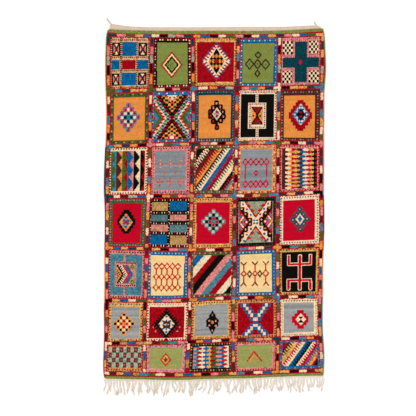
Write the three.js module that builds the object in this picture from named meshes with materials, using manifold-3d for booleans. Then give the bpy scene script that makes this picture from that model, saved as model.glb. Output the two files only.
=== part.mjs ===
// A hand-woven wool rug of patchwork design, lying flat with its face up.
// Millimetres, +Z up, the floor at z = 0 and the origin on the underside at the middle of the rug.
// +Y runs along the rug towards the end with the woven heading, and -Y towards the fringed end.
import * as THREE from 'three';
import { mergeVertices } from 'three/addons/utils/BufferGeometryUtils.js';
import Module from 'manifold-3d';

// Thicknesses, measured up from the floor.
const pileThickness = 9;
const endBandThickness = 5.5;
const selvedgeThickness = 8;
const headingThickness = 4.5;
const fringeThickness = 4;
const tuftThickness = 5;

// Widths seen from above.
const selvedgeWidth = 7;
const topBandWidth = 21;
const bottomBandWidth = 18;
const pileInset = 1.5;
const edgeRounding = 1.8;
const rimChamfer = 1;
const headingSlant = { left: 8, right: 6 };
const seamGap = 0.3;

// The two long edges, outside the selvedges, from the heading down to the fringe.
const sideEdges = [
  { y: 1252, left: -783, right: 798 },
  { y: 1123, left: -793, right: 807 },
  { y: 978, left: -795, right: 811 },
  { y: 832, left: -793, right: 801 },
  { y: 687, left: -789, right: 800 },
  { y: 542, left: -790, right: 798 },
  { y: 396, left: -797, right: 798 },
  { y: 251, left: -803, right: 798 },
  { y: 105, left: -805, right: 796 },
  { y: -40, left: -799, right: 799 },
  { y: -185, left: -799, right: 799 },
  { y: -331, left: -802, right: 794 },
  { y: -476, left: -802, right: 790 },
  { y: -622, left: -802, right: 790 },
  { y: -767, left: -805, right: 787 },
  { y: -912, left: -803, right: 788 },
  { y: -1058, left: -807, right: 798 },
  { y: -1145, left: -810, right: 799 },
  { y: -1232, left: -807, right: 794 },
];
const corners = {
  topLeft: { x: -777, y: 1273 },
  topRight: { x: 792, y: 1281 },
  bottomLeft: { x: -802, y: -1262 },
  bottomRight: { x: 793, y: -1243 },
};

// The end lines from left to right: where the cloth begins, where it ends, and the heading's free edge.
const topLine = [
  { x: -769, y: 1273 },
  { x: -687, y: 1269 },
  { x: -469, y: 1263 },
  { x: 4, y: 1262 },
  { x: 331, y: 1261 },
  { x: 476, y: 1264 },
  { x: 622, y: 1271 },
  { x: 784, y: 1281 },
];
const bottomLine = [
  { x: -794, y: -1265 },
  { x: -542, y: -1270 },
  { x: -251, y: -1274 },
  { x: -105, y: -1269 },
  { x: 40, y: -1265 },
  { x: 258, y: -1261 },
  { x: 404, y: -1254 },
  { x: 549, y: -1248 },
  { x: 694, y: -1244 },
  { x: 785, y: -1243 },
];
const headingFreeEdge = [
  { x: -758, y: 1309 },
  { x: -738, y: 1313 },
  { x: -687, y: 1305 },
  { x: -614, y: 1296 },
  { x: -469, y: 1290 },
  { x: -105, y: 1290 },
  { x: 185, y: 1292 },
  { x: 476, y: 1293 },
  { x: 622, y: 1298 },
  { x: 694, y: 1303 },
  { x: 745, y: 1304 },
  { x: 769, y: 1293 },
];

// The fringe: warp ends gathered into bundles below a narrow woven header.
const fringeHeaderDepth = 9;
const headerOverhang = 10;
const bundleCount = 47;
const bundleWidth = 13;
const bundleTipWidth = 10;
const bundleTipRounding = 0.55;
const bundleLength = { left: 118, right: 106, variation: 11, turn: 2.4 };
const bundleLean = { most: 9, turn: 1.7 };
const bundleSway = 2.5;
const bundleSections = 6;

// The loose warp ends at the two corners of the heading.
const leftTuft = { baseX: -756, baseWidth: 13, strands: [{ tipX: -787, tipY: 1359, tipWidth: 11 }] };
const rightTuft = {
  baseX: 731,
  baseWidth: 18,
  strands: [{ tipX: 720, tipY: 1336, tipWidth: 8 }, { tipX: 750, tipY: 1331, tipWidth: 5 }],
};
const tuftCrotchHeight = 5;

// How finely the smooth lines are cut, the least turn that keeps a point, and what counts as one point.
const samplesPerSpan = 4;
const smallestTurn = 0.01;
const mergeDistance = 1e-4;

const wool = {
  field: { color: 0x8d2a2a, roughness: 0.95, metalness: 0 },
  selvedge: { color: 0x6f7f3c, roughness: 0.95, metalness: 0 },
  warp: { color: 0xe3d3bd, roughness: 0.95, metalness: 0 },
};

// A smooth line through the rows of a table, as points from its first row to its last.
function smoothLine(rows) {
  const curve = new THREE.CatmullRomCurve3(rows.map((row) => new THREE.Vector3(row.x, row.y, 0)));
  const points = curve.getPoints(samplesPerSpan * (rows.length - 1));
  return points.map((point) => new THREE.Vector2(point.x, point.y));
}

function shifted(points, dx, dy) {
  return points.map((point) => new THREE.Vector2(point.x + dx, point.y + dy));
}

// The height of an end line at one x, read straight between its points.
function heightAt(line, x) {
  const right = Math.max(1, line.findIndex((point) => point.x >= x));
  const a = line[right - 1];
  const b = line[right];
  return a.y + ((b.y - a.y) * (x - a.x)) / (b.x - a.x);
}

// The stretch of an end line from one x to another.
function stretch(line, fromX, toX) {
  const inside = line.filter((point) => point.x > fromX && point.x < toX);
  const start = new THREE.Vector2(fromX, heightAt(line, fromX));
  const end = new THREE.Vector2(toX, heightAt(line, toX));
  return [start, ...inside, end];
}

// The points of a closed outline that turn it: those on a straight stretch are dropped.
function corneredOutline(points) {
  return points.filter((point, index) => {
    const before = points[(index + points.length - 1) % points.length];
    const after = points[(index + 1) % points.length];
    const turn = (point.x - before.x) * (after.y - point.y) - (point.y - before.y) * (after.x - point.x);
    return Math.abs(turn) > smallestTurn;
  });
}

// An outline raised from the floor, with its rims rounded by a chamfer inside the outline.
function plate(outline, thickness, rounding) {
  const shape = new THREE.Shape(corneredOutline(outline));
  const geometry = new THREE.ExtrudeGeometry(shape, {
    depth: thickness - 2 * rounding,
    bevelEnabled: rounding > 0,
    bevelThickness: rounding,
    bevelSize: rounding,
    bevelOffset: -rounding,
    bevelSegments: 1,
  });
  return geometry.translate(0, 0, rounding);
}

// The outer line of one selvedge, from the heading end to the fringe end.
function outerEdge(side) {
  const upper = side === 'left' ? corners.topLeft : corners.topRight;
  const lower = side === 'left' ? corners.bottomLeft : corners.bottomRight;
  const rows = sideEdges.map((row) => ({ x: row[side], y: row.y }));
  return smoothLine([upper, ...rows, lower]);
}

// The edge of the cloth itself lies inside the selvedge, one seam gap away.
const clothInset = selvedgeWidth + seamGap;
const leftOuter = outerEdge('left');
const rightOuter = outerEdge('right');
const leftCloth = shifted(leftOuter, clothInset, 0);
const rightCloth = shifted(rightOuter, -clothInset, 0);
const clothTop = smoothLine(topLine);
const clothBottom = smoothLine(bottomLine);

function drawnIn(line, inset) {
  return stretch(line, line[0].x + inset, line[line.length - 1].x - inset);
}

// The part of a long edge that lies between two heights.
function between(points, lowest, highest) {
  return points.filter((point) => point.y > lowest && point.y < highest);
}

// A closed outline of the cloth, clockwise from its top left corner, drawn in from its ends and sides.
function clothOutline(topInset, bottomInset, sideInset) {
  const top = drawnIn(shifted(clothTop, 0, -topInset), sideInset);
  const bottom = drawnIn(shifted(clothBottom, 0, bottomInset), sideInset).reverse();
  const right = between(shifted(rightCloth, -sideInset, 0), bottom[0].y, top[top.length - 1].y);
  const left = between(shifted(leftCloth, sideInset, 0), bottom[bottom.length - 1].y, top[0].y);
  return [...top, ...right, ...bottom, ...left.reverse()];
}

const wasm = await Module();
wasm.setup();

function asSolid(geometry) {
  geometry.deleteAttribute('normal');
  geometry.deleteAttribute('uv');
  const merged = mergeVertices(geometry, mergeDistance);
  const vertProperties = new Float32Array(merged.attributes.position.array);
  const triVerts = new Uint32Array(merged.index.array);
  return new wasm.Manifold(new wasm.Mesh({ numProp: 3, vertProperties, triVerts }));
}

function asGeometry(solid) {
  const mesh = solid.getMesh();
  const geometry = new THREE.BufferGeometry();
  geometry.setAttribute('position', new THREE.BufferAttribute(new Float32Array(mesh.vertProperties), 3));
  geometry.setIndex(new THREE.BufferAttribute(new Uint32Array(mesh.triVerts), 1));
  geometry.computeVertexNormals();
  return geometry;
}

// The cloth: a thin plain-woven plate with a green band left bare at each end, and the thicker
// patterned field standing on it between the bands, all one solid.
function wovenRug() {
  const ground = asSolid(plate(clothOutline(0, 0, 0), endBandThickness, 0));
  const field = asSolid(plate(clothOutline(topBandWidth, bottomBandWidth, pileInset), pileThickness, 0));
  return asGeometry(ground.add(field));
}

// A selvedge: the overcast cord along one long edge.
function selvedge(side) {
  const outer = side === 'left' ? leftOuter : rightOuter;
  const inward = side === 'left' ? selvedgeWidth : -selvedgeWidth;
  const inner = shifted(outer, inward, 0).reverse();
  const outline = [...outer, ...inner];
  return plate(side === 'left' ? outline.reverse() : outline, selvedgeThickness, edgeRounding);
}

// The heading: the plaited band of warp ends that closes the upper end.
const headingFree = smoothLine(headingFreeEdge);

function topHeading() {
  const first = headingFree[0].x;
  const last = headingFree[headingFree.length - 1].x;
  const footing = stretch(clothTop, first - headingSlant.left, last + headingSlant.right);
  const lower = shifted(footing, 0, seamGap);
  return plate([...headingFree, ...lower.reverse()], headingThickness, rimChamfer);
}

// One bundle of warp ends as outline points, down its left side, round its tip and up its right side.
function bundleOutline(index, rootX, rootY) {
  const along = index / (bundleCount - 1);
  const mean = bundleLength.left + (bundleLength.right - bundleLength.left) * along;
  const length = mean + bundleLength.variation * Math.sin(index * bundleLength.turn);
  const lean = bundleLean.most * Math.sin(index * bundleLean.turn);
  const leftSide = [];
  const rightSide = [];
  for (let section = 0; section <= bundleSections; section += 1) {
    const t = section / bundleSections;
    const rounding = section === bundleSections ? bundleTipRounding : 1;
    const half = (rounding * (bundleWidth + (bundleTipWidth - bundleWidth) * t)) / 2;
    const sway = bundleSway * Math.sin(Math.PI * 2 * t + index);
    const middle = rootX + lean * t * t + sway * t;
    const y = rootY - length * t;
    leftSide.push(new THREE.Vector2(middle - half, y));
    rightSide.push(new THREE.Vector2(middle + half, y));
  }
  return [...leftSide, ...rightSide.reverse()];
}

// The fringe: one comb, a narrow header with the bundles hanging from it.
function bottomFringe() {
  const underCloth = shifted(clothBottom, 0, -seamGap);
  const farLeft = shifted([underCloth[0]], -headerOverhang, 0);
  const farRight = shifted([underCloth[underCloth.length - 1]], headerOverhang, 0);
  const header = [...farLeft, ...underCloth, ...farRight];
  const first = header[0].x + bundleWidth / 2;
  const last = header[header.length - 1].x - bundleWidth / 2;
  const pitch = (last - first) / (bundleCount - 1);
  const teeth = [];
  for (let index = 0; index < bundleCount; index += 1) {
    const rootX = first + pitch * index;
    const rootY = heightAt(header, rootX) - fringeHeaderDepth;
    teeth.push(...bundleOutline(index, rootX, rootY));
  }
  return plate([...teeth, ...header.reverse()], fringeThickness, 0);
}

// A tuft of loose warp ends that leaves the heading's free edge.
function cornerTuft({ baseX, baseWidth, strands }) {
  const outline = shifted(stretch(headingFree, baseX, baseX + baseWidth), 0, seamGap);
  const rootWidth = baseWidth / strands.length;
  for (const [index, strand] of [...strands].reverse().entries()) {
    const rootRight = baseX + baseWidth - rootWidth * index;
    const rootLeft = rootRight - rootWidth;
    outline.push(new THREE.Vector2(strand.tipX + strand.tipWidth / 2, strand.tipY));
    outline.push(new THREE.Vector2(strand.tipX - strand.tipWidth / 2, strand.tipY));
    if (index < strands.length - 1) {
      outline.push(new THREE.Vector2(rootLeft, heightAt(headingFree, rootLeft) + tuftCrotchHeight));
    }
  }
  return plate(outline, tuftThickness, 0);
}

function piece(name, geometry, finish) {
  const mesh = new THREE.Mesh(geometry, new THREE.MeshStandardMaterial(finish));
  mesh.name = name;
  return mesh;
}

const rug = new THREE.Group();
rug.add(piece('woven_rug', wovenRug(), wool.field));
rug.add(piece('left_selvedge', selvedge('left'), wool.selvedge));
rug.add(piece('right_selvedge', selvedge('right'), wool.selvedge));
rug.add(piece('top_heading', topHeading(), wool.warp));
rug.add(piece('bottom_fringe', bottomFringe(), wool.warp));
rug.add(piece('left_corner_tuft', cornerTuft(leftTuft), wool.warp));
rug.add(piece('right_corner_tuft', cornerTuft(rightTuft), wool.warp));

export default rug;
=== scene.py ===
import bpy
import numpy as np
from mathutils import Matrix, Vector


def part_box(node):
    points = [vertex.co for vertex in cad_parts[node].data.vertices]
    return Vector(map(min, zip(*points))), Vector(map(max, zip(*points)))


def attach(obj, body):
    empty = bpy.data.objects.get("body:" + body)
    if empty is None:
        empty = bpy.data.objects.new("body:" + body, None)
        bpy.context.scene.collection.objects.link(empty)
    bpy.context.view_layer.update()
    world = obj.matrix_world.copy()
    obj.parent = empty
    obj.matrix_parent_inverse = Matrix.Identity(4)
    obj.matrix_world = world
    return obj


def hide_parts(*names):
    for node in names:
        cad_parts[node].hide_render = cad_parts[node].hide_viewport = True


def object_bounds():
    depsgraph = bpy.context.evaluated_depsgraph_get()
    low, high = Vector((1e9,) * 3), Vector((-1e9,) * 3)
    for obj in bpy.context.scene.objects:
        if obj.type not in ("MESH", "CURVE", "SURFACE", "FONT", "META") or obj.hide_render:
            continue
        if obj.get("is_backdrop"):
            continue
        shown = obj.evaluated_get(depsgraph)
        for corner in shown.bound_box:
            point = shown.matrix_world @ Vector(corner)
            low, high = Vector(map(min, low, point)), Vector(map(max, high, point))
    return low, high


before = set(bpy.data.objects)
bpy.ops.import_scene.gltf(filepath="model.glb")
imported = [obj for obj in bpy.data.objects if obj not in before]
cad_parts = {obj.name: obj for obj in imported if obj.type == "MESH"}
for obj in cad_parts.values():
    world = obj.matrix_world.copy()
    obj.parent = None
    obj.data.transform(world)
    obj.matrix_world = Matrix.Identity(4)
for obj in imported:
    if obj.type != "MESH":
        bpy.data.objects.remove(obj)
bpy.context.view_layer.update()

# Camera.
# It looks straight down over the middle of the picture, a little to the left of the rug's, from far
# enough off to take in the whole rug.
picture_pixel = 0.00727
picture_side = 416
picture_middle = (-0.047, -0.025)
pile_top = 0.0086
camera_data = bpy.data.cameras.new("camera over the rug")
camera_data.lens = 85.0
camera_data.sensor_width = 36.0
camera_data.clip_end = 50.0
camera = bpy.data.objects.new("camera over the rug", camera_data)
camera_height = picture_side * picture_pixel * camera_data.lens / camera_data.sensor_width
camera.location = (*picture_middle, camera_height + pile_top)
bpy.context.collection.objects.link(camera)
bpy.context.scene.camera = camera

# Studio light and floor.
# A white floor just under the rug, an even white sky, and one broad lamp from the upper left
# that gives the pile its soft grain. The floor is plain and pale, and renders white.
bpy.context.scene.view_settings.view_transform = "Standard"
sky_strength = 0.82
lamp_strength = 1.35
sky = bpy.data.worlds.new("studio sky")
sky.use_nodes = True
sky.node_tree.nodes["Background"].inputs["Color"].default_value = (1.0, 1.0, 1.0, 1.0)
sky.node_tree.nodes["Background"].inputs["Strength"].default_value = sky_strength
bpy.context.scene.world = sky
lamp_data = bpy.data.lights.new("soft lamp", "SUN")
lamp_data.energy = lamp_strength
lamp_data.angle = 0.5
lamp = bpy.data.objects.new("soft lamp", lamp_data)
lamp.rotation_euler = (-0.62, -0.42, 0.0)
bpy.context.collection.objects.link(lamp)

floor_half = 9.0
floor_depth = -0.0006
floor_mesh = bpy.data.meshes.new("studio_floor")
corner_signs = ((-1, -1), (1, -1), (1, 1), (-1, 1))
floor_corners = [(x * floor_half, y * floor_half, floor_depth) for x, y in corner_signs]
floor_mesh.from_pydata(floor_corners, [], [(0, 1, 2, 3)])
floor = bpy.data.objects.new("studio_floor", floor_mesh)
bpy.context.collection.objects.link(floor)
floor_paint = bpy.data.materials.new("white studio floor")
floor_paint.use_nodes = True
floor_shader = floor_paint.node_tree.nodes["Principled BSDF"]
floor_shader.inputs["Base Color"].default_value = (0.93, 0.93, 0.93, 1.0)
floor_shader.inputs["Roughness"].default_value = 0.95
floor_shader.inputs["Specular IOR Level"].default_value = 0.0
floor_mesh.materials.append(floor_paint)
floor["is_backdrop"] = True

# Compartments.
# Thirty-five small carpets in one: seven rows of five, each knotted in wool to its own chart on the
# cotton ground, each with its own narrow beaded frame. One square of a chart is one bunch of knots.
knot = picture_pixel / 1.5
half_bar = 2.0 * picture_pixel
column_middle = np.array([-0.618, -0.316, 0.0, 0.313, 0.622])
row_middle = np.array([1.036, 0.640, 0.251, -0.127, -0.502, -0.836, -1.105])
across_lines = 0.001 * np.array(
    [
        [1230.1, 1226.4, 1225.0, 1225.7, 1233.0],
        [828.1, 838.2, 849.1, 846.2, 852.0],
        [428.9, 438.4, 444.2, 450.7, 447.8],
        [59.6, 61.8, 64.7, 66.2, 82.9],
        [-318.4, -327.2, -329.3, -315.5, -303.9],
        [-696.5, -700.1, -682.7, -675.4, -668.8],
        [-1007.6, -1004.0, -990.2, -980.0, -971.3],
        [-1230.1, -1237.4, -1232.3, -1221.4, -1210.5],
    ]
)
along_lines = 0.001 * np.array(
    [
        [-772.1, -769.9, -777.9, -779.3, -783.7, -783.7, -794.6],
        [-457.3, -467.5, -471.8, -487.1, -496.5, -508.2, -508.9],
        [-156.3, -153.4, -163.6, -168.7, -183.9, -179.6, -194.1],
        [170.8, 161.4, 156.3, 143.9, 145.4, 134.5, 137.4],
        [471.1, 466.7, 461.6, 460.2, 459.5, 465.3, 458.7],
        [783.7, 778.6, 775.7, 778.6, 771.3, 765.5, 777.9],
    ]
)
wool_dyes = {
    "green": "7E873F", "leaf": "989A56", "olive": "435E2A", "moss": "222C14", "khaki": "544F27",
    "drab": "48522A", "sage": "96AA90", "dull sage": "93957D", "pale sage": "C6C8AC", "deep red": "9C0412",
    "red": "C00423", "border red": "A00A1E", "rust": "BE2A1E", "faded rose": "BC6660", "orange": "E18B3E",
    "amber": "D08A52", "gold": "D6A259", "tan": "B48C54", "pale yellow": "F4CE8F", "cream": "F0D2AC",
    "pink": "D8807A", "rose": "CD8374", "blue": "085C8E", "light teal": "2F7F94", "faded teal": "54777B",
    "dark teal": "083A44", "slate": "234B50", "grey": "9A9A97", "dusk": "868A8D", "wine": "6E2C2C",
    "buff": "CCA278", "brown": "4E201C", "bark": "38241A", "black": "0D0B09", "undyed": "EBD9C5",
}
dye_number = {name: number for number, name in enumerate(wool_dyes)}
light_on_rug = 1.05
bead_half = 0.85


def linear_dye(code):
    """A written colour as linear light, c/12.92 below 0.04045 and else ((c + 0.055)/1.055)^2.4, and then
    divided by the light that falls on the rug."""
    c = np.array([int(code[k : k + 2], 16) / 255.0 for k in (0, 2, 4)])
    return np.where(c < 0.04045, c / 12.92, ((c + 0.055) / 1.055) ** 2.4) / light_on_rug


dye_light = np.array([linear_dye(code) for code in wool_dyes.values()])


def eased(at, places, values):
    """A smooth curve through the values at their places: a cubic in each gap, whose slope at a place comes
    from its two neighbours, and straight past the first and the last place."""
    order = np.argsort(places)
    places, values = places[order], values[order]
    slopes = np.gradient(values, places)
    first = np.clip(np.searchsorted(places, at) - 1, 0, len(places) - 2)
    gap = places[first + 1] - places[first]
    t = (at - places[first]) / gap
    curve = (2 * t**3 - 3 * t**2 + 1) * values[first] + (t**3 - 2 * t**2 + t) * gap * slopes[first]
    curve = curve + (3 * t**2 - 2 * t**3) * values[first + 1] + (t**3 - t**2) * gap * slopes[first + 1]
    before = values[0] + slopes[0] * (at - places[0])
    after = values[-1] + slopes[-1] * (at - places[-1])
    return np.where(t < 0, before, np.where(t > 1, after, curve))


def across_line(line, x):
    """y of the middle of a bar across the rug, at x."""
    return eased(x, column_middle, across_lines[line])


def along_line(line, y):
    """x of the middle of a bar along the rug, at y."""
    return eased(y, row_middle, along_lines[line])


def inside_compartment(row, column, s, t):
    """x and y at the shares s across and t up a compartment. Its sides are half a bar inside its lines."""
    x = column_middle[column] + 0.0 * s
    y = row_middle[row] + 0.0 * t
    for _ in range(5):
        left, right = along_line(column, y) + half_bar, along_line(column + 1, y) - half_bar
        x = left + (right - left) * s
        low, high = across_line(row + 1, x) + half_bar, across_line(row, x) - half_bar
        y = low + (high - low) * t
    return x, y


def tooth(turns):
    """A wave of straight teeth, 0 at whole turns and 1 halfway."""
    return 1.0 - np.abs(2.0 * (turns % 1.0) - 1.0)


class Chart:
    """The chart of one compartment: a dye for each knot, with x and y in knots from its middle. Where it is
    flat the cloth is plain woven, with no knots, and lies lower than the pile."""

    def __init__(self, row, column):
        self.row, self.column = row, column
        x, y = column_middle[column], row_middle[row]
        self.wide = int(round((along_line(column + 1, y) - along_line(column, y) - 2 * half_bar) / knot))
        self.tall = int(round((across_line(row, x) - across_line(row + 1, x) - 2 * half_bar) / knot))
        columns = np.arange(self.wide) + 0.5 - self.wide / 2
        rows = np.arange(self.tall) + 0.5 - self.tall / 2
        self.x, self.y = np.meshgrid(columns, rows)
        self.dyes = np.zeros((self.tall, self.wide), int)
        self.flat = np.zeros((self.tall, self.wide), bool)

    def paint(self, where, *dyes, turn=0):
        """Knots the places that are true in a dye, or of several dyes in the one a knot's turn counts to."""
        numbers = np.array([dye_number[name] for name in dyes])
        chosen = numbers[np.broadcast_to(np.asarray(turn) % len(dyes), self.dyes.shape)]
        self.dyes = np.where(where, chosen, self.dyes)
        self.flat = self.flat & ~where

    def within(self, left, right, low, high):
        """True inside a block. A side given as a pair leans from its value at the left or bottom end."""
        up, over = self.y / self.tall + 0.5, self.x / self.wide + 0.5
        left, right = (s[0] + (s[1] - s[0]) * up if isinstance(s, tuple) else s for s in (left, right))
        low, high = (s[0] + (s[1] - s[0]) * over if isinstance(s, tuple) else s for s in (low, high))
        return (self.x >= left) & (self.x < right) & (self.y >= low) & (self.y < high)

    def block(self, left, right, low, high, dye):
        """A block in one dye."""
        self.paint(self.within(left, right, low, high), dye)

    def spread(self, x, y, wide, tall):
        """|dx|/wide + |dy|/tall, which is 1 on the edge of a diamond."""
        return np.abs(self.x - x) / wide + np.abs(self.y - y) / tall

    def diamond(self, x, y, wide, tall, dye, step=0.0, reach=99.0):
        """A diamond of half sizes wide and tall. With a step, its sides go up in stairs of that height. Its
        two points are cut off flat at the reach."""
        dy = np.abs(self.y - y)
        stair = (np.floor(dy / step) + 0.5) * step if step else dy
        self.paint((np.abs(self.x - x) / wide + stair / tall < 1.0) & (dy < reach), dye)

    def ring(self, x, y, wide, tall, thick, dye):
        """A diamond's outline, thick knots across."""
        reach = wide * tall / np.hypot(wide, tall)
        self.paint(np.abs(self.spread(x, y, wide, tall) - 1.0) * reach < thick / 2, dye)

    def stroke(self, points, thick, dye):
        """A line through the points: the knots closer than half of thick to one of its straight runs."""
        for (x0, y0), (x1, y1) in zip(points[:-1], points[1:]):
            square = (x1 - x0) ** 2 + (y1 - y0) ** 2
            run = np.clip(((self.x - x0) * (x1 - x0) + (self.y - y0) * (y1 - y0)) / square, 0, 1)
            far = np.hypot(self.x - x0 - run * (x1 - x0), self.y - y0 - run * (y1 - y0))
            self.paint(far < thick / 2, dye)

    def spots(self, places, wide, tall, dye, blunt=1.35):
        """Small diamonds at the places, their corners cut off by the block that blunt makes of them."""
        for x, y in places:
            near = (np.abs(self.x - x) < wide) & (np.abs(self.y - y) < tall)
            self.paint(near & (self.spread(x, y, wide, tall) < blunt), dye)

    def bead_row(self, where, along, dyes, pitch=4, share=0.5):
        """Beads along a narrow strip, each a share of the pitch long, in turn of the dyes."""
        count = (along + 200 * pitch) / pitch
        self.paint(where & (count % 1.0 < share), *dyes, turn=np.floor(count).astype(int))

    def frame(self, ground, beads, field, left, right, low, high, pitch=4, share=0.5, flat=False):
        """The ground all over, a row of beads along the middle of each side, and the field inside them.
        Gives back where the field is."""
        self.dyes[:] = dye_number[ground]
        half_wide, half_tall = self.wide / 2, self.tall / 2
        depths = (np.mean(left) + half_wide, half_wide - np.mean(right))
        depths += (np.mean(low) + half_tall, half_tall - np.mean(high))
        aways = (self.x + half_wide, half_wide - self.x, self.y + half_tall, half_tall - self.y)
        nearest = np.argmin([away / depth for away, depth in zip(aways, depths)], 0)
        for side, (away, depth) in enumerate(zip(aways, depths)):
            row = (nearest == side) & (np.abs(away - depth / 2 + 0.2) < bead_half)
            self.bead_row(row, self.y if side < 2 else self.x, beads, pitch, share)
        inside = self.within(left, right, low, high)
        self.paint(inside, field)
        self.flat = inside & flat
        return inside

    def bead_diamond(self, x, y, pitch_x, pitch_y, rings, outline):
        """Square beads on a lattice, dyed by their steps from the middle, with an outline a knot wide."""
        dx, dy = self.x - x, self.y - y
        a, b = np.round(dx / pitch_x), np.round(dy / pitch_y)
        steps = (np.abs(a) + np.abs(b)).astype(int)
        most = len(rings) - 1
        for over, up in ((0, 0), (1, 0), (-1, 0), (0, 1), (0, -1)):
            near = np.abs(np.round((dx + over) / pitch_x)) + np.abs(np.round((dy + up) / pitch_y))
            self.paint(near <= most, outline)
        bead = (np.abs(dx - a * pitch_x) < 0.4 * pitch_x) & (np.abs(dy - b * pitch_y) < 0.4 * pitch_y)
        self.paint(bead & (steps <= most), *rings, turn=np.minimum(steps, most))

    def heather(self, where, *dyes):
        """Two dyes mixed, knot by knot and in turn every other row."""
        self.paint(where, *dyes, turn=(np.floor(self.x) + np.floor(self.y / 2)).astype(int))

    def rays(self, x, y, inner, outer, dye, tip, pitch, share):
        """Short bars that stand out square from a diamond's sides, from its inner to its outer size, with
        the outer tenth in the tip's dye."""
        near, far = self.spread(x, y, *inner), self.spread(x, y, *outer)
        along = (np.abs(self.y - y) * inner[1] - np.abs(self.x - x) * inner[0]) / np.hypot(*inner)
        bar = (near >= 1.0) & (far < 1.0) & ((along / pitch + share / 2) % 1.0 < share)
        self.paint(bar, dye)
        self.paint(bar & (far >= 0.9), tip)

    def stripes(self, slant, edges, dyes, field, pitch=5.6):
        """Slanting stripes: x - y/slant sorted by the edges. A pair of dyes is a comb of the two, and the
        teeth of the first narrow from 0.72 to 0.28 of the pitch across their stripe."""
        q = self.x - self.y / slant
        band = np.searchsorted(np.array(edges), q)
        sides = np.array([edges[0] - 9.0, *edges, edges[-1] + 9.0])
        into = (q - sides[band]) / (sides[band + 1] - sides[band])
        comb = np.abs(((self.x + self.y) / pitch) % 1.0 - 0.5) < 0.36 - 0.22 * into
        for number, dye in enumerate(dyes):
            pair = dye if isinstance(dye, tuple) else (dye, dye)
            self.paint(field & (band == number) & comb, pair[0])
            self.paint(field & (band == number) & ~comb, pair[1])

    def combs(self, count, odd, even, field):
        """Upright columns of interlocking teeth: rows of knots in turn take the odd or the even list of edges
        and dyes. An odd tooth is tallest at its middle: 1/4 + (1 - 2 away)/11 of a turn each way, where away
        goes from 0 there to 1 at its sides."""
        edges = np.array([edge for edge, _ in odd])
        starts = np.append(self.x.min(), edges[:-1])
        band = np.minimum(np.searchsorted(edges, self.x), len(edges) - 1)
        away = np.abs(2 * self.x - starts[band] - edges[band]) / (edges[band] - starts[band])
        odd_rows = np.abs((count + 0.25) % 1.0 - 0.5) < 0.25 + (1.0 - 2.0 * away) / 11
        for rows, cells in ((odd_rows, odd), (~odd_rows, even)):
            band = np.searchsorted(np.array([edge for edge, _ in cells]), self.x)
            last = len(cells) - 1
            self.paint(field & rows & (band <= last), *[dye for _, dye in cells], turn=np.minimum(band, last))


def hourglass_boxes(c):
    """A plus of blue and red blocks between four hourglass boxes, on beads all over."""
    c.dyes[:] = dye_number["buff"]
    for x in (-27.8, -13.2, 10.6, 27.8):
        c.bead_row(np.abs(c.x - x) < 1.3, c.y, ("olive", "red", "brown"), pitch=3)
    for y in (34.6, 8.4, -11.4, -36.4):
        c.bead_row(np.abs(c.y - y) < 1.3, c.x, ("brown", "red", "olive"), pitch=3)
    boxes = ((-26, -14.5, 10.5, 31), (12.5, 25.5, 10.5, 31), (-27, -15.5, -33, -15), (12.5, 26, -33.5, -14))
    for left, right, low, high in boxes:
        c.block(left, right, low, high, "black")
        c.block(left + 2, right - 2, low + 2, high - 2, "pink")
        x, y = (left + right) / 2, (low + high) / 2
        steep = np.abs(c.y - y) / ((high - low) / 2 - 2) - np.abs(c.x - x) / ((right - left) / 2 - 2)
        box = c.within(left + 2, right - 2, low + 2, high - 2)
        c.paint(box & (steep > 0), "cream")
        c.paint(box & (np.abs(steep) < 0.36), "brown")
    c.block(-11, 9.5, 10.5, 31.5, "blue")
    c.block(-12, 9.5, -33.5, -14, "blue")
    c.block(-27.5, -15, -9.5, 4.5, "blue")
    c.block(11.5, 27.5, -9, 5, "blue")
    c.block(-11, 8.5, -9, 4.5, "deep red")


def nested_diamond(c):
    """A green field with three diamonds one inside another, in a black frame with white beads."""
    c.frame("black", ("cream", "cream", "deep red"), "green", (-22, -23.5), 23, -33, 30, flat=True)
    c.ring(-0.75, -3.5, 15, 18.6, 2.2, "border red")
    c.diamond(-0.75, -3.5, 13.6, 17, "pale yellow")
    c.diamond(-0.75, -3.5, 10.9, 13.7, "black")
    c.diamond(-0.75, -3.5, 7.9, 9.8, "green")


def cream_rays(c):
    """A checked lozenge with cream rays on deep red, in a gold frame."""
    c.frame("gold", ("brown", "olive", "rust"), "deep red", -27.5, 28, (-31, -30), 30.5)
    c.rays(1.5, 1, (13.5, 19), (23.4, 29), "cream", "blue", pitch=4.6, share=0.5)
    c.diamond(1.5, 1, 15, 22, "cream")
    c.diamond(1.5, 1, 12.4, 19.6, "orange")
    over, up = (c.x - 1.5) / 12.4, (c.y - 1) / 19.6
    check = (np.floor(2.5 * (over + up) + 0.5) + np.floor(2.5 * (over - up) + 0.5)) % 2 != 0
    c.paint((c.spread(1.5, 1, 12.4, 19.6) < 1.0) & (check | (np.abs(up) > 0.66)), "black")
    c.diamond(1.5, 1, 4, 5.4, "brown")
    c.diamond(1.5, 1, 2.8, 3.8, "red")


def linked_diamonds(c):
    """Five outlined diamonds that touch, on green, in a blue frame."""
    c.frame("blue", ("pale sage", "light teal"), "green", -24, (21.5, 24), -31, 28, flat=True)
    rings = ((-13.5, -3, 6, 7.5), (-1.5, -3, 5.5, 7), (10.5, -3.5, 6, 7.5))
    rings += ((-1, 10.5, 4, 4.7), (-1.5, -17, 3.6, 5))
    for ring in rings:
        c.ring(*ring, 2.1, "bark")
    c.spots([(-13.5, -3), (-1.5, -3), (10.5, -3.5)], 1.1, 1.8, "olive")


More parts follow.
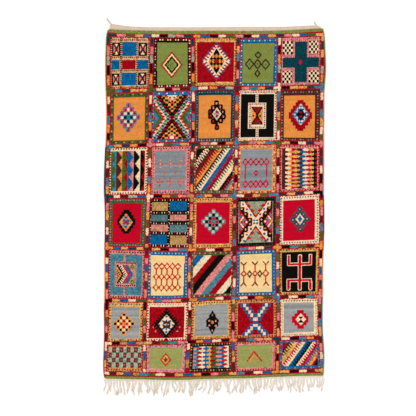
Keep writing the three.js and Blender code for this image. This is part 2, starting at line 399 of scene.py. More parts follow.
def teal_plus(c):
    """A dark teal plus between four blocks of black and cream checks, in a pink frame."""
    c.dyes[:] = dye_number["pink"]
    bead = (c.x / 3 % 1.0 < 0.4) & (c.y / 3 % 1.0 < 0.4)
    turn = (np.floor(c.x / 3) + np.floor(c.y / 3)).astype(int)
    c.paint(bead, "dark teal", "red", "light teal", turn=turn)
    c.block(-9, 9, -31.5, 30, "dark teal")
    c.block(-27, 27, -9.5, 5.5, "dark teal")
    c.diamond(-0.5, -1.5, 2.5, 4, "red")
    corners = ((-27, -12, 11, 31), (12, 26, 12, 31), (-27, -13, -32, -14), (12, 27, -32, -14))
    for left, right, low, high in corners:
        box = c.within(left, right, low, high)
        c.paint(box, "cream")
        column, line = np.floor((c.x - left) / 3), np.floor((c.y - low) / 4)
        c.paint(box & ((column + line) % 2 == 0), "black")


def step_lozenge(c):
    """A lozenge of red, cream and black beads on orange, in an olive frame."""
    c.frame("drab", ("tan", "khaki", "moss"), "orange", -23, 23, -33, 31.5, flat=True)
    c.bead_diamond(-1.5, 1, 4.75, 5.9, ("light teal", "black", "cream", "red"), "light teal")


def crossing_bands(c):
    """Toothed bands that cross from corner to corner, in a blue frame with light beads."""
    field = c.frame("blue", ("cream", "light teal", "red"), "light teal", -27, 26.5, -33, 32)
    x, y = c.x - 0.5, c.y + 1.5
    side = np.abs(x) - np.abs(y) / 1.42
    jag = 4.4 * (tooth(c.y / 4.9 + 0.3) - 0.5)
    checks = (np.floor(np.abs(x) / 4) + np.floor(c.y / 2.45)).astype(int)
    c.paint(field & (side > 0) & (side <= 8), "sage", "dark teal", turn=checks)
    c.paint(field & (side > 8) & (side + jag <= 10.4), "cream")
    c.paint(field & (side > 8) & (side + jag > 10.4) & (side + 0.6 * jag <= 14), "red")
    c.paint(field & (side + 0.6 * jag > 14) & (side <= 19.5), "olive")
    c.spots([(-25.5, -2), (25, -2)], 1.6, 2.2, "red")
    end = -side
    c.paint(field & (end > -1.5) & (end <= 2.5), "deep red", "black", turn=np.floor(c.y / 2.45).astype(int))
    c.paint(field & (end > 2.5) & (end <= 5), "black")
    checks = (np.floor(x / 4.2 + 0.5) + np.floor(c.y / 3.3)).astype(int)
    c.paint(field & (end > 5) & (end - jag <= 15.5), "orange", "black", turn=checks)
    c.paint(field & (end > 5) & (end - jag > 15.5), "cream")
    c.spots([(-3, 28.5), (3.5, 28.5), (0.5, 23), (0.5, -26.5), (-4, -31), (5, -31)], 1.8, 1.9, "red")


def knobbed_ring(c):
    """A black ring of pink beads round a small quartered diamond, on orange, in a dark teal frame."""
    c.frame("dark teal", ("grey", "light teal", "sage"), "orange", -24, 24, (-34.5, -34), 31.5, flat=True)
    pink = [(2, 18.5), (-2.5, 12), (7.5, 13), (-7, 6), (11.5, 5.5), (-6.8, -0.5), (12.5, -1.5)]
    pink += [(-2.5, -8.5), (8.5, -7.5)]
    c.spots(pink + [(3, -18)], 3.7, 4.4, "black", blunt=1.6)
    c.block(0.5, 5, -17, -8, "black")
    c.diamond(2.6, 2.5, 9.5, 12.5, "black")
    c.diamond(2.7, 2.5, 7, 9.6, "cream")
    c.diamond(2.7, 2.5, 4.8, 6.8, "grey")
    c.paint((c.spread(2.7, 2.5, 4.8, 6.8) < 1) & (np.abs(c.x - 2.7) * 1.3 < np.abs(c.y - 2.5)), "deep red")
    c.spots(pink, 1.4, 1.6, "pink")
    c.spots([(-7, 6), (-6.8, -0.5), (-2.5, -8.5), (3, -18)], 1.5, 1.6, "red")


def framed_hourglass(c):
    """An hourglass of red and orange in a beaded frame on black, inside a second beaded frame."""
    c.frame("cream", ("blue", "red", "dusk"), "black", -25, 24.5, -32.5, 32, share=0.6)
    for left, right, low, high in ((-3, 1, 19, 32), (-2, 2, -33, -20)):
        c.block(left, right, low, high, "cream")
        c.bead_row(c.within(left + 1, right - 1, low, high), c.y, ("red", "dark teal"), pitch=3, share=0.6)
    c.block(-14, 12.5, -20, 19.5, "cream")
    along = np.where(np.abs(c.y) > 15, c.x, c.y)
    middle = c.within(-12.8, 11.3, -18.8, 18.3) & ~c.within(-10.9, 9.4, -16.5, 15.7)
    c.bead_row(middle, along, ("red", "blue", "rose", "dark teal"), pitch=3, share=0.6)
    c.block(-9.5, 8, -14, 13.5, "orange")
    up, down = (c.y - 0.5) / 12.5, (-c.y - 0.5) / 13.0
    sides = np.abs(c.x + 0.8) / 8.0
    inner = c.within(-9.5, 8, -14, 13.5)
    c.paint(inner & (np.maximum(up, down) > sides - 0.16), "black")
    c.paint(inner & ((up > sides + 0.14) | (down > sides + 0.14)), "deep red")
    c.block(-9.5, 8, 12, 13.5, "black")
    c.block(-9.5, 8, -14, -12.6, "black")
    c.spots([(-4, 9.5), (0.5, 9.5), (-2.8, -11), (1.5, -11)], 1.2, 1.8, "dark teal")
    c.spots([(-6.5, -0.5), (4.2, -0.8)], 1.3, 2, "dark teal")


def toothed_ring(c):
    """A stepped red ring round blue and cream checks, on orange, in a brown frame."""
    c.frame("brown", ("faded rose", "khaki", "dusk"), "orange", -24, 22.5, (-34, -33.5), 30, flat=True)
    c.diamond(0.5, -0.5, 19.6, 29, "deep red", step=5, reach=22.8)
    c.diamond(1, 1, 13.4, 17.6, "blue")
    rise = np.abs(c.y - 1) * 0.75
    checks = (np.floor((c.x - 1 + rise) / 3.6) + np.floor((c.x - 1 - rise) / 3.6)) % 2 == 0
    c.paint((c.spread(1, 1, 12.2, 16.2) < 1) & checks, "cream")
    c.diamond(1, 1, 7.6, 10.6, "blue")
    c.diamond(1, 1, 6.4, 9.2, "black")
    c.spots([(1, 4), (1, -2)], 1.9, 1.5, "red")


def paired_waves(c):
    """Six upright pairs of colours that meet in long teeth, in a cream frame."""
    c.frame("cream", ("border red", "olive", "brown"), "cream", -26, 24.5, -30, 30)
    reach = 0.1 + 0.9 * tooth((c.y - 10.5) / 19.4) ** 0.85
    pairs = (
        (-26, -18.3, "olive", "light teal"), (-18.3, -9, "brown", "orange"), (-9, -1.3, "olive", "deep red"),
        (-1.3, 8, "blue", "pink"), (8, 17.5, "black", "cream"), (17.5, 24.5, "black", "deep red"),
    )
    for left, right, first, second in pairs:
        c.block(left, right, -30, 30, second)
        c.paint(c.within(left, right, -30, 30) & (c.x < left + 0.8 + (right - left - 1.5) * reach), first)


def grey_crosses(c):
    """Six crosses of small red beads on streaked grey, in a salmon frame."""
    c.frame("pink", ("black", "blue", "brown"), "dusk", -23.5, 22.5, -30, 29.5, flat=True)
    for x in (-16, -0.7, 15):
        c.spots([(x - 3.8, 9.5), (x + 3.8, 9.5), (x, 14.5), (x, 4.5), (x, 9.5)], 1.9, 2, "faded rose")
        c.spots([(x, 14.5), (x, 4.5)] + ([(x, 9.5)] if x < 10 else []), 0.6, 0.7, "cream")
    for x in (-16.5, -1, 14.5):
        places = [(x - 3.6, -17.5), (x + 3.6, -17.5), (x, -12.7), (x, -22.5), (x, -17.5)]
        c.spots(places, 1.9, 2.1, "faded rose")
    c.spots([(-9, -4), (7, -4)], 1.7, 2.6, "faded rose")


def slanting_combs(c):
    """Slanting stripes whose sides comb into each other, in a green frame."""
    c.frame("drab", ("sage", "cream", "border red"), "olive", -27, 28, (-31, -30.5), (30.5, 31.5))
    dyes = (
        "deep red", "black", ("brown", "cream"), ("cream", "brown"), "brown", ("brown", "deep red"),
        "deep red", ("deep red", "orange"), "orange", "orange", "black", ("black", "cream"), "cream", "blue",
        ("blue", "deep red"), "deep red", ("olive", "cream"), "cream", "black", ("black", "red"),
        "light teal", "orange",
    )
    edges = (-46, -37, -33.5, -27, -23.5, -20.5, -19, -12.5, -11.5, -9.5)
    edges += (-7.5, -1, 2.2, 6, 12, 16, 22.5, 28.5, 33, 38, 41.5)
    c.stripes(1.43, edges, dyes, c.within(-27, 28, -30.7, 31))


def chained_diamonds(c):
    """Two chains of outlined diamonds joined by two lines, on grey, in an orange frame."""
    c.frame("amber", ("brown", "rust", "cream"), "dusk", -24, 22.5, (-32, -31.5), 29.2, flat=True)
    for x in (-17.5, -9.5, -1.5, 6.5, 14.2):
        c.ring(x, 10.5, 3.7, 5.4, 1.9, "red")
    for x in (-17, -9, -1.5, 5.5, 13.5):
        c.ring(x, -22.5, 3.6, 5, 1.9, "red")
    c.stroke([(-17.4, 5), (-17, -17.5)], 1.9, "red")
    c.stroke([(14.4, 5), (13.9, -17.5)], 1.9, "red")
    c.ring(-1.5, -6, 2.7, 3.7, 1.9, "red")


def upright_combs(c):
    """Seven upright columns of short interlocking bars, in a pink frame."""
    c.frame("pink", ("brown", "rust"), "gold", (-26.5, -27), 26.6, -30, 29.5)
    odd = ((-17.2, "brown"), (-10.8, "orange"), (0, "gold"), (9.2, "blue"), (18.2, "red"), (27, "black"))
    even = ((-21.4, "brown"), (-12.9, "cream"), (-4.6, "red"), (4.9, "brown"), (13.4, "cream"))
    even += ((21.8, "gold"), (23.6, "black"), (27, "red"))
    count = np.where(c.y < -9.6, (c.y + 9.6) / 5.43, (c.y + 9.6) / 6.74) + 0.25
    c.combs(count, odd, even, c.within(-26.5, 26.6, -30, 29.5))


def toothed_star(c):
    """A blue star on an orange diamond in a stepped black ring, on red, in a green frame."""
    c.frame("drab", ("light teal", "tan", "dusk"), "red", -22, (20, 21.5), -31, 29, flat=True)
    c.diamond(-1.5, 0.8, 15.4, 24, "black", step=5, reach=18)
    c.diamond(-2, 0, 10.3, 13.6, "orange")
    c.spots([(-2.2, 7.3), (-4.8, 2.5), (0.8, 2.5), (-4.8, -2), (0.8, -2), (-2.2, -6.7)], 2.4, 2.2, "blue")
    c.spots([(-2, 0.2)], 1.9, 2.4, "red")


def eight_blocks(c):
    """Eight plain blocks, two across and four up, with beaded black between them."""
    c.dyes[:] = dye_number["black"]
    side = (np.abs(c.x) > c.wide / 2 - 2.6) & (np.abs(c.x) < c.wide / 2 - 0.6)
    c.bead_row(side | (np.abs(c.x + 1) < 1.1), c.y, ("cream", "brown", "tan"), share=0.3)
    for y in (33.8, 14.7, -1, -15.6, -34.5):
        c.bead_row(np.abs(c.y - y) < 1.1, c.x, ("cream", "red", "cream"), share=0.3)
    blocks = (
        (-27, -3.3, 18, 31, "tan"), (0.5, 26, (17.5, 18.5), 32, "blue"), (-27.5, -2.5, 2, 12, "faded teal"),
        (1.5, 26.5, (2, 3), 12, "rose"), (-27.3, -2, -13, -3, "rose"), (1.5, 26.7, -13.5, -3, "faded teal"),
        (-28, -2.5, -32.5, -18, "blue"), (2, 26.7, -33, -18.5, "tan"),
    )
    for left, right, low, high, dye in blocks:
        c.block(left, right, low, high, dye)


def bead_lozenge_on_red(c):
    """A lozenge of cream, black and red beads on red, in a gold frame."""
    c.frame("gold", ("brown", "olive", "rust"), "red", (-23.5, -25.5), 25, (-31, -31), 30.5, flat=True)
    c.bead_diamond(1, 1.5, 4.85, 5.05, ("faded teal", "red", "black", "pale sage"), "faded teal")


def stepped_cross(c):
    """A stepped cream cross with blue spots between black steps, red sides and sage ends."""
    c.frame("black", ("brown", "dark teal", "olive"), "black", -26.5, 26.5, -31, 31)
    c.block(-26.3, 25.8, -31, 31, "dull sage")
    c.block(-25, 24.6, -30, 30.3, "black")
    field = c.within(-25, 24.6, -30, 30.3)
    wide, tall = np.abs(c.x + 0.4), np.abs(c.y)
    c.paint(field & (tall > 8 + 1.42 * wide), "dull sage")
    c.paint(field & (wide > 11 + 0.72 * tall), "red")
    sides = field & (wide > 12.5 + 0.72 * tall)
    p = wide + 0.7 * tall
    bands = ((12.5, 15.6, "cream"), (18.3, 20.6, "light teal"), (22.7, 25.3, "cream"), (28, 30, "light teal"))
    for low, high, dye in bands:
        c.paint(sides & (p > low) & (p < high), dye)
    c.paint(sides & (p > 22.7) & (p < 25.3) & (tall < 3), "orange")
    spots = [(-20, 26.5), (-14, 19), (-8, 10.6), (6, 11), (12, 19), (18, 26.6)]
    spots += [(-7.5, -10.5), (-13.5, -19), (-18.2, -28), (6.6, -10), (12.6, -18.5), (17.5, -27.6)]
    band = np.abs(wide - (tall - 1) * 0.7) < 2.6
    c.paint(field & band & (tall > 4), "cream")
    for grow, dye in ((4.6, "deep red"), (3.6, "cream")):
        for x, y in spots:
            outer = c.within(x - grow, x + grow, y - grow, y + grow)
            c.paint(field & outer & (wide > 0.7 * (tall - 8)) & (tall > 4), dye)
        c.block(-1.9 - grow, 1 + grow, -8, 8, dye)
    c.paint(field & band & (tall > 4), "cream")
    edge = tall - (7 + 1.42 * wide)
    c.paint(field & (edge > -1.6) & (edge < 1.6), "deep red")
    c.paint(field & (edge >= 1.6), "dull sage")
    steps = (tooth(c.y / 7.0) > 0.35) & (edge >= 1.6) & (edge < 6.5)
    c.paint(field & steps, "rust")
    c.spots([(-0.5, 12.5), (-0.5, -12.5)], 1.6, 2.4, "tan")
    c.spots(spots + [(-2.6, 2.2), (1.6, 2.2), (-2.6, -2.3), (1.6, -2.3)], 1.7, 1.7, "blue")
    gold = [(-22, 19.5), (-16, 12), (-9.5, 3), (-9, -3), (-15.5, -11), (-20.5, -19.5)]
    gold += [(20, 20), (14, 12), (8.2, 3), (8.5, -3), (14, -10.5), (21, -18.5)]
    c.spots(gold, 1.2, 1.4, "gold")


def ring_of_eight(c):
    """A blue diamond edged with cream in a ring of eight small teal ones, in a cream frame."""
    c.frame("cream", ("blue", "red"), "red", -25, 23.5, -31, 30, flat=True)
    c.diamond(0.5, 1, 10.5, 14, "slate")
    around = [(0.2, 15.8), (1, -14), (11, 1), (-10.3, 0.5), (5.8, 8), (-4.9, 8), (6.6, -6.2), (-4.8, -6)]
    for x, y in around:
        c.diamond(x, y, 5.1, 5.8, "slate")
    c.spots(around, 1.1, 1.2, "rose")
    c.diamond(0.5, 1, 6.4, 8.6, "cream")
    c.diamond(0.5, 1, 3.6, 5, "blue")


def pointing_chevrons(c):
    """Chevrons that point right in a beaded pink frame, on light teal, in a second pink frame."""
    field = c.frame("pink", ("brown", "black"), "light teal", -24, 23.3, -31, (30, 30.5))
    c.heather(field, "light teal", "faded teal")
    c.block(-4, -1, 18, 30.5, "rose")
    c.block(-4, -1, -31, -18, "rose")
    c.block(-17.6, 14.6, -18.6, 18.6, "rose")
    along = np.where(np.abs(c.y) > 14.6, c.x, c.y)
    middle = c.within(-16.8, 13.8, -17.6, 17.6) & ~c.within(-15.3, 12.2, -15.6, 15.6)
    c.bead_row(middle, along, ("black", "brown"), pitch=3)
    inner = c.within(-14.7, 11.6, -14.2, 14.4)
    q = c.x + 0.62 * np.abs(c.y + 0.5)
    comb = ((c.x - np.abs(c.y + 0.5)) / 4.4) % 1.0 < 0.5
    bands = (
        (-40, -8.6, "orange", "dark teal"), (-8.6, -6.8, "orange", "orange"), (-6.8, -3.6, "black", "black"),
        (-3.6, 0.4, "black", "cream"), (0.4, 1.8, "cream", "cream"), (1.8, 3.8, "red", "red"),
        (3.8, 7.6, "red", "blue"), (7.6, 10.6, "blue", "blue"), (10.6, 60, "tan", "tan"),
    )
    for low, high, first, second in bands:
        c.paint(inner & (q > low) & (q <= high), second)
        c.paint(inner & (q > low) & (q <= high) & comb, first)
    c.ring(9, 11.5, 2.4, 3, 1.5, "olive")
    c.ring(9, -12, 2.4, 3, 1.5, "olive")


def honeycomb(c):
    """A honeycomb of three chains of diamonds in red line on pale yellow, in a blue frame."""
    sides = ((-24, -26), (23, 25), -30.3, 29.3)
    c.frame("blue", ("pale sage", "sage"), "pale yellow", *sides, pitch=5, share=0.34, flat=True)
    for x in (-17, -9, -1.2, 6.8, 15):
        for y, wide, tall in ((13.2, 4, 4.8), (-2.4, 4, 4.6), (-18.5, 4, 4.8)):
            c.ring(x, y, wide, tall, 1.8, "rust")
        c.stroke([(x, 8.6), (x, 2.4)], 1.8, "rust")
        c.stroke([(x, -7.4), (x, -13.5)], 1.8, "rust")


def slanting_stripes(c):
    """Broad plain slanting stripes, in an olive frame with red beads."""
    field = c.frame("drab", ("border red", "sage"), "black", -28, 29, -29.5, 29)
    edges = (-47.3, -36, -24.3, -15, -2.6, 8.8, 19.8, 31, 42.5)
    dyes = ("orange", "blue", "cream", "deep red", "black")
    dyes += ("pink", "light teal", "deep red", "cream", "black")
    c.stripes(1.2, edges, dyes, field)
    c.heather(c.dyes == dye_number["light teal"], "light teal", "faded teal")


def forked_posts(c):
    """Three forked posts through a chain of five diamonds, on pale yellow, in a blue frame."""
    c.frame("blue", ("pale sage", "sage"), "pale yellow", -24, 23.8, -29, 28, pitch=5, share=0.34, flat=True)
    rings = ((-18.6, -1, 3.6, 4.5), (-9.8, -1.6, 3.2, 4.6), (-1.6, -1.2, 3.2, 4.5))
    rings += ((5.6, -1.5, 3, 4.6), (14.5, -1.2, 4.2, 5.2))
    for x, y, wide, tall in rings:
        c.ring(x, y, wide, tall, 1.9, "brown" if x in (-9.8, 5.6) else "rust")
    for x in (-18.6, -1.6, 14.8):
        c.stroke([(x, 3.6), (x, 11.5)], 1.8, "rust")
        c.stroke([(x, -6), (x, -13)], 1.8, "rust")
        c.stroke([(x - 4, 16.2), (x, 11.8), (x + 4, 16.2)], 1.8, "border red")
        c.stroke([(x - 4, 16.2), (x - 1.4, 13.3)], 1.6, "bark")
        c.stroke([(x + 4, 16.2), (x + 1.4, 13.3)], 1.6, "bark")
        c.stroke([(x - 3.8, -19.2), (x, -13.6), (x + 3.8, -19.2)], 1.8, "border red")
        c.stroke([(x - 2.6, -18.4), (x, -15), (x + 2.6, -18.4)], 1.0, "bark")


def double_comb(c):
    """A red comb at each end of a post, edged with cream, on black, in a gold frame."""
    c.frame("gold", ("black", "olive", "rust"), "black", -26, 25.5, -30.5, 29.7)
    runs = [
        [(1, 23), (1, -26)],
        [(-15.6, 23.2), (-15.6, 11.2), (16.4, 11.2), (16.4, 23.2)],
        [(-16.2, -25.5), (-16.2, -12.8), (16.6, -12.8), (17.2, -26.2)],
    ]
    for thick, dye in ((5.6, "cream"), (3.4, "red")):
        for points in runs:
            c.stroke(points, thick, dye)


def bead_lozenge_on_grey(c):
    """A lozenge of black, cream and red beads edged with orange on grey, in a gold frame."""
    c.frame("gold", ("brown", "olive", "grey"), "grey", -21, 20.5, (-25, -25.5), 22.5, flat=True)
    c.bead_diamond(-2.5, -3.2, 4.35, 4.5, ("orange", "red", "cream", "black"), "orange")


def black_rays(c):
    """A spotted cream diamond with black rays on deep red, in a cream frame."""
    c.frame("cream", ("brown", "red", "olive"), "deep red", (-28, -26.5), 26.5, -24, 23)
    c.rays(-1, -3.8, (13, 16.4), (21.8, 26), "black", "black", pitch=4.3, share=0.6)
    c.diamond(-1, -3.8, 16.8, 20.8, "black")
    c.diamond(-1, -3.8, 12.2, 15.4, "cream")
    c.spots([(-20.6, -8), (-17, -14), (19, -8.5), (15.5, -14.5)], 1.1, 1.2, "rose")
    c.spots([(-3.6, -1.4), (2, -1.4), (-3.6, -7.5), (2, -7.5)], 2.6, 2.6, "brown")
    around = [(-1, 8), (-6.3, 1.2), (4.4, 1), (-11.4, -4.8), (-0.8, -4.8), (9, -4.8)]
    around += [(-6.2, -10.3), (4, -10.2), (-1, -15.3)]
    c.spots(around, 1.6, 1.7, "blue")
    c.spots([(-1, 1.5), (-6, -4.8), (4, -4.6), (-1, -10.4)], 1.5, 1.6, "dark teal")


def black_cluster(c):
    """A small black cluster with pink spots on streaked grey, in a gold frame."""
    c.frame("gold", ("black", "olive", "rust"), "grey", -24.5, 24.7, (-23, -23.5), (21.5, 23), flat=True)
    c.diamond(1.5, 5.5, 5.8, 7.6, "black")
    c.diamond(1.5, -4, 9.8, 18.2, "black", step=2)
    c.block(-7.4, 10.4, -10, 0, "black")
    c.diamond(-3, -1.5, 5.5, 6, "black")
    c.diamond(6.5, -2, 5.5, 6, "black")
    c.spots([(1.4, 6.6), (-3, -1.4), (6.4, -2), (-3, -8.2), (7, -9.2), (1.4, -16)], 1.4, 1.5, "pink")
    c.spots([(1.5, -4)], 1.7, 3, "tan")


def chequered_cross(c):
    """A diagonal cross of blue and cream squares on deep red, in an orange frame."""
    c.frame("amber", ("brown", "olive"), "deep red", -26.7, 26.7, -24, 23.7)
    rows = ((20.3, 16.6), (15.3, 12.7), (10.2, 9), (4.8, 5.2), (-14.5, 5.8), (-19.4, 9.9), (-23.2, 13.3))
    for y, x in rows:
        for side in (-1, 1):
            c.spots([(side * x - 0.4 - 3.9, y), (side * x - 0.4 + 3.9, y)], 2.1, 2.5, "blue", blunt=1.75)
    for y in (-1, -10):
        c.spots([(-6.4, y), (5.6, y)], 2.1, 2.5, "blue", blunt=1.75)
    for y in (4.6, -5.6, -14.6):
        c.block(-3.6, 3.2, y - 2.3, y + 2.3, "blue")
    for y, x in rows:
        c.spots([(x - 0.4, y), (-x - 0.4, y)], 2, 2.6, "cream", blunt=1.75)
    c.block(-4, 3.4, -3.2, 1.4, "cream")
    c.block(-4, 3.4, -12, -8, "cream")


def small_toothed_ring(c):
    """A stepped red ring round a small hourglass on grey, in a cream frame."""
    c.frame("cream", ("black", "red", "olive"), "grey", -22.5, 22.5, (-22.8, -22), (22.5, 21.5), flat=True)
    c.diamond(1.8, -3, 14.5, 17.5, "red", step=4.6, reach=14)
    c.block(-11, 14.5, -6.5, 1.5, "red")
    c.diamond(2.4, -3, 8, 9.4, "cream")
    for x, y, turn in ((2.5, 0.9, 1), (2.5, -7.3, -1)):
        reach = (c.y - y) * turn
        c.paint((reach < 0.6) & (reach > -4.2) & (np.abs(c.x - x) < 4 + reach * 0.9), "black")


def brown_checks(c):
    """Brown and sage squares, each with a small pink eye, in an orange and red frame."""
    field = c.frame("amber", ("olive", "border red", "brown"), "wine", -24.5, 24.5, -14.2, 17)
    column, line = (c.x + 24.5) / 5.45, (c.y + 14.2) / 7.8
    sage = (np.floor(column) + np.floor(line)) % 2 == 1
    c.paint(field & sage, "sage")
    eye = (np.abs(column % 1.0 - 0.5) < 0.14) & (np.abs(line % 1.0 - 0.5) < 0.12)
    c.paint(field & eye & sage, "pink")
    c.paint(field & eye & ~sage, "faded rose")


def red_diamond_on_leaf(c):
    """A small red diamond on light green, in a pink frame with blue beads."""
    c.frame("pink", ("blue", "grey"), "leaf", -24, 24.5, -15.3, (17.3, 16), flat=True)
    c.ring(-0.6, -1.5, 7.2, 9, 1.9, "rust")
    c.ring(-0.6, -1.5, 4.8, 6.3, 1.4, "gold")
    c.diamond(-0.6, -1.8, 2.9, 4, "deep red")


def small_upright_combs(c):
    """Upright columns of short interlocking bars, in a black frame."""
    beads = ("dull sage", "khaki", "tan")
    field = c.frame("black", beads, "cream", -26.4, 27.6, (-15.8, -16.2), 17.2, share=0.4)
    odd = ((-21, "pink"), (-12.8, "deep red"), (-11.8, "cream"), (-2.5, "blue"), (-1.2, "gold"))
    odd += ((6.5, "deep red"), (8, "olive"), (16.7, "pink"), (24.6, "red"))
    odd += ((27.4, "cream"), (29, "light teal"))
    even = ((-18, "light teal"), (-7.9, "cream"), (-6.4, "blue"), (1.2, "gold"), (2.4, "deep red"))
    even += ((10.8, "olive"), (20.3, "blue"), (27.4, "cream"), (29, "light teal"))
    c.combs(c.y / 6.15, odd, even, field)


def chevron_on_leaf(c):
    """A red chevron over a gold one on light green, in a pink frame."""
    c.frame("pink", ("brown", "border red", "olive"), "leaf", -25.5, 24.7, -17, 17.3, flat=True)
    c.stroke([(-12.3, -7.6), (-2.2, 7), (9.4, -7.8)], 2.2, "rust")
    c.stroke([(-8.4, -7), (-2.2, 1.4), (5.2, -7.6)], 1.6, "orange")


def small_slanting_combs(c):
    """Slanting stripes that comb into each other, in a blue frame."""
    field = c.frame("blue", ("sage", "light teal", "border red"), "black", -25.5, 27, -16.5, 18.3)
    edges = (-30.2, -28.6, -21.5, -15.5, -14, -7.5, -4.3, -1.4, 3.9)
    edges += (6.8, 8.3, 14.1, 18.5, 19.9, 24.8, 29.4, 33)
    dyes = (
        "deep red", "black", ("black", "gold"), "gold", "red", ("red", "cream"), "cream", "blue",
        ("blue", "black"), "black", "cream", ("cream", "red"), "red", "blue", ("blue", "orange"), "orange",
        "deep red", "black",
    )
    c.stripes(1.32, edges, dyes, field, pitch=5.4)


chart_marks = (
    hourglass_boxes, nested_diamond, cream_rays, linked_diamonds, teal_plus,
    step_lozenge, crossing_bands, knobbed_ring, framed_hourglass, toothed_ring,
    paired_waves, grey_crosses, slanting_combs, chained_diamonds, upright_combs,
    toothed_star, eight_blocks, bead_lozenge_on_red, stepped_cross, ring_of_eight,
    pointing_chevrons, honeycomb, slanting_stripes, forked_posts, double_comb,
    bead_lozenge_on_grey, black_rays, black_cluster, chequered_cross, small_toothed_ring,
    brown_checks, red_diamond_on_leaf, small_upright_combs, chevron_on_leaf, small_slanting_combs,
)
charts = []
for place, mark in enumerate(chart_marks):
    charts.append(Chart(*divmod(place, 5)))
    mark(charts[-1])

wool_chance = np.random.default_rng(35)
knot_mottle, clump_mottle, flat_mottle = 0.14, 0.19, 0.09
hue_mottle = 0.055
row_mottle, grey_mottle = 0.03, 0.1
pale_light, pale_calm = 0.4, 0.5
dark_knots, dark_knot_shade = 0.04, 0.78


def dyed_wool(dyes, flat=False):
    """Each knot's colour: its dye, times a little chance of its own, of its clump of four, of each hue and of
    its row, with a few dark knots. Flat-woven places are more even, and grey wool is streaked by rows."""
    rows, columns = dyes.shape
    streaks = wool_chance.normal(0.0, 1.0, rows + 2)
    # Three rows are mixed, and about the root of 6 brings the sum's spread back to 1.
    streaks = (streaks[:-2] + 2 * streaks[1:-1] + streaks[2:]) / 2.45
    grey = (dyes == dye_number["grey"]) | (dyes == dye_number["dusk"])
    streak = np.where(grey, grey_mottle, row_mottle) * streaks[:, None]
    own = wool_chance.normal(0.0, 1.0, (rows + 1, columns + 1))
    clump = (own[1:, 1:] + own[:-1, 1:] + own[1:, :-1] + own[:-1, :-1]) / 2
    own = wool_chance.normal(0.0, 1.0, (rows, columns))
    chance = np.where(flat, flat_mottle * own, knot_mottle * own + clump_mottle * clump)
    chance = chance * np.where(dye_light[dyes].mean(-1) > pale_light, pale_calm, 1.0)
    dark = (wool_chance.random((rows, columns)) < dark_knots) & np.logical_not(flat)
    shade = np.maximum(1.0 + chance + streak, 0.4) * np.where(dark, dark_knot_shade, 1.0)
    hue = 1.0 + wool_chance.normal(0.0, hue_mottle, (rows, columns, 3))
    return np.clip(dye_light[dyes] * shade[..., None] * hue, 0.0, 1.0)


def slab_faces(rows, columns):
    """Faces of a slab whose top is a grid: the top, a skirt, and strips across the bottom, all facing out."""
    grid = np.arange(rows * columns).reshape(rows, columns)
    top = np.stack([grid[:-1, :-1], grid[:-1, 1:], grid[1:, 1:], grid[1:, :-1]], -1).reshape(-1, 4)
    ring = np.concatenate([grid[0, :-1], grid[:-1, -1], grid[-1, :0:-1], grid[:0:-1, 0]])
    count = len(ring)
    under = rows * columns + np.arange(count)
    skirt = np.stack([under, np.roll(under, -1), np.roll(ring, -1), ring], -1)
    south = under[:columns]
    north = under[columns + rows - 2 : 2 * columns + rows - 2][::-1]
    east = under[columns : columns + rows - 2]
    west = under[2 * columns + rows - 2 :][::-1]
    strips = np.stack([south[1:-2], north[1:-2], north[2:-1], south[2:-1]], -1)
    first = np.concatenate([[south[0]], west, [north[0], north[1], south[1]]])
    last = np.concatenate([[south[-2], north[-2], north[-1]], east[::-1], [south[-1]]])
    return top, skirt, strips, first, last, ring


def add_mesh(name, points, faces, colours, maps, smooth):
    """An object from points, faces and, for each face corner, a wool colour and its place on each map."""
    mesh = bpy.data.meshes.new(name)
    sizes = np.concatenate([np.full(len(f), f.shape[1]) if f.ndim == 2 else [len(f)] for f in faces])
    corners = np.concatenate([f.ravel() for f in faces]).astype(np.int32)
    mesh.vertices.add(len(points))
    mesh.vertices.foreach_set("co", np.ascontiguousarray(points, dtype=np.float32).ravel())
    mesh.loops.add(len(corners))
    mesh.loops.foreach_set("vertex_index", corners)
    mesh.polygons.add(len(sizes))
    mesh.polygons.foreach_set("loop_start", (np.cumsum(sizes) - sizes).astype(np.int32))
    mesh.polygons.foreach_set("use_smooth", np.full(len(sizes), smooth))
    mesh.update(calc_edges=True)
    for map_name, positions in maps:
        layer = mesh.uv_layers.new(name=map_name, do_init=False)
        layer.data.foreach_set("uv", np.ascontiguousarray(positions, dtype=np.float32).ravel())
    layer = mesh.color_attributes.new("wool colour", "FLOAT_COLOR", "CORNER")
    painted = np.ones((len(corners), 4), np.float32)
    painted[:, :3] = colours
    layer.data.foreach_set("color", painted.ravel())
    piece = bpy.data.objects.new(name, mesh)
    bpy.context.collection.objects.link(piece)
    return piece


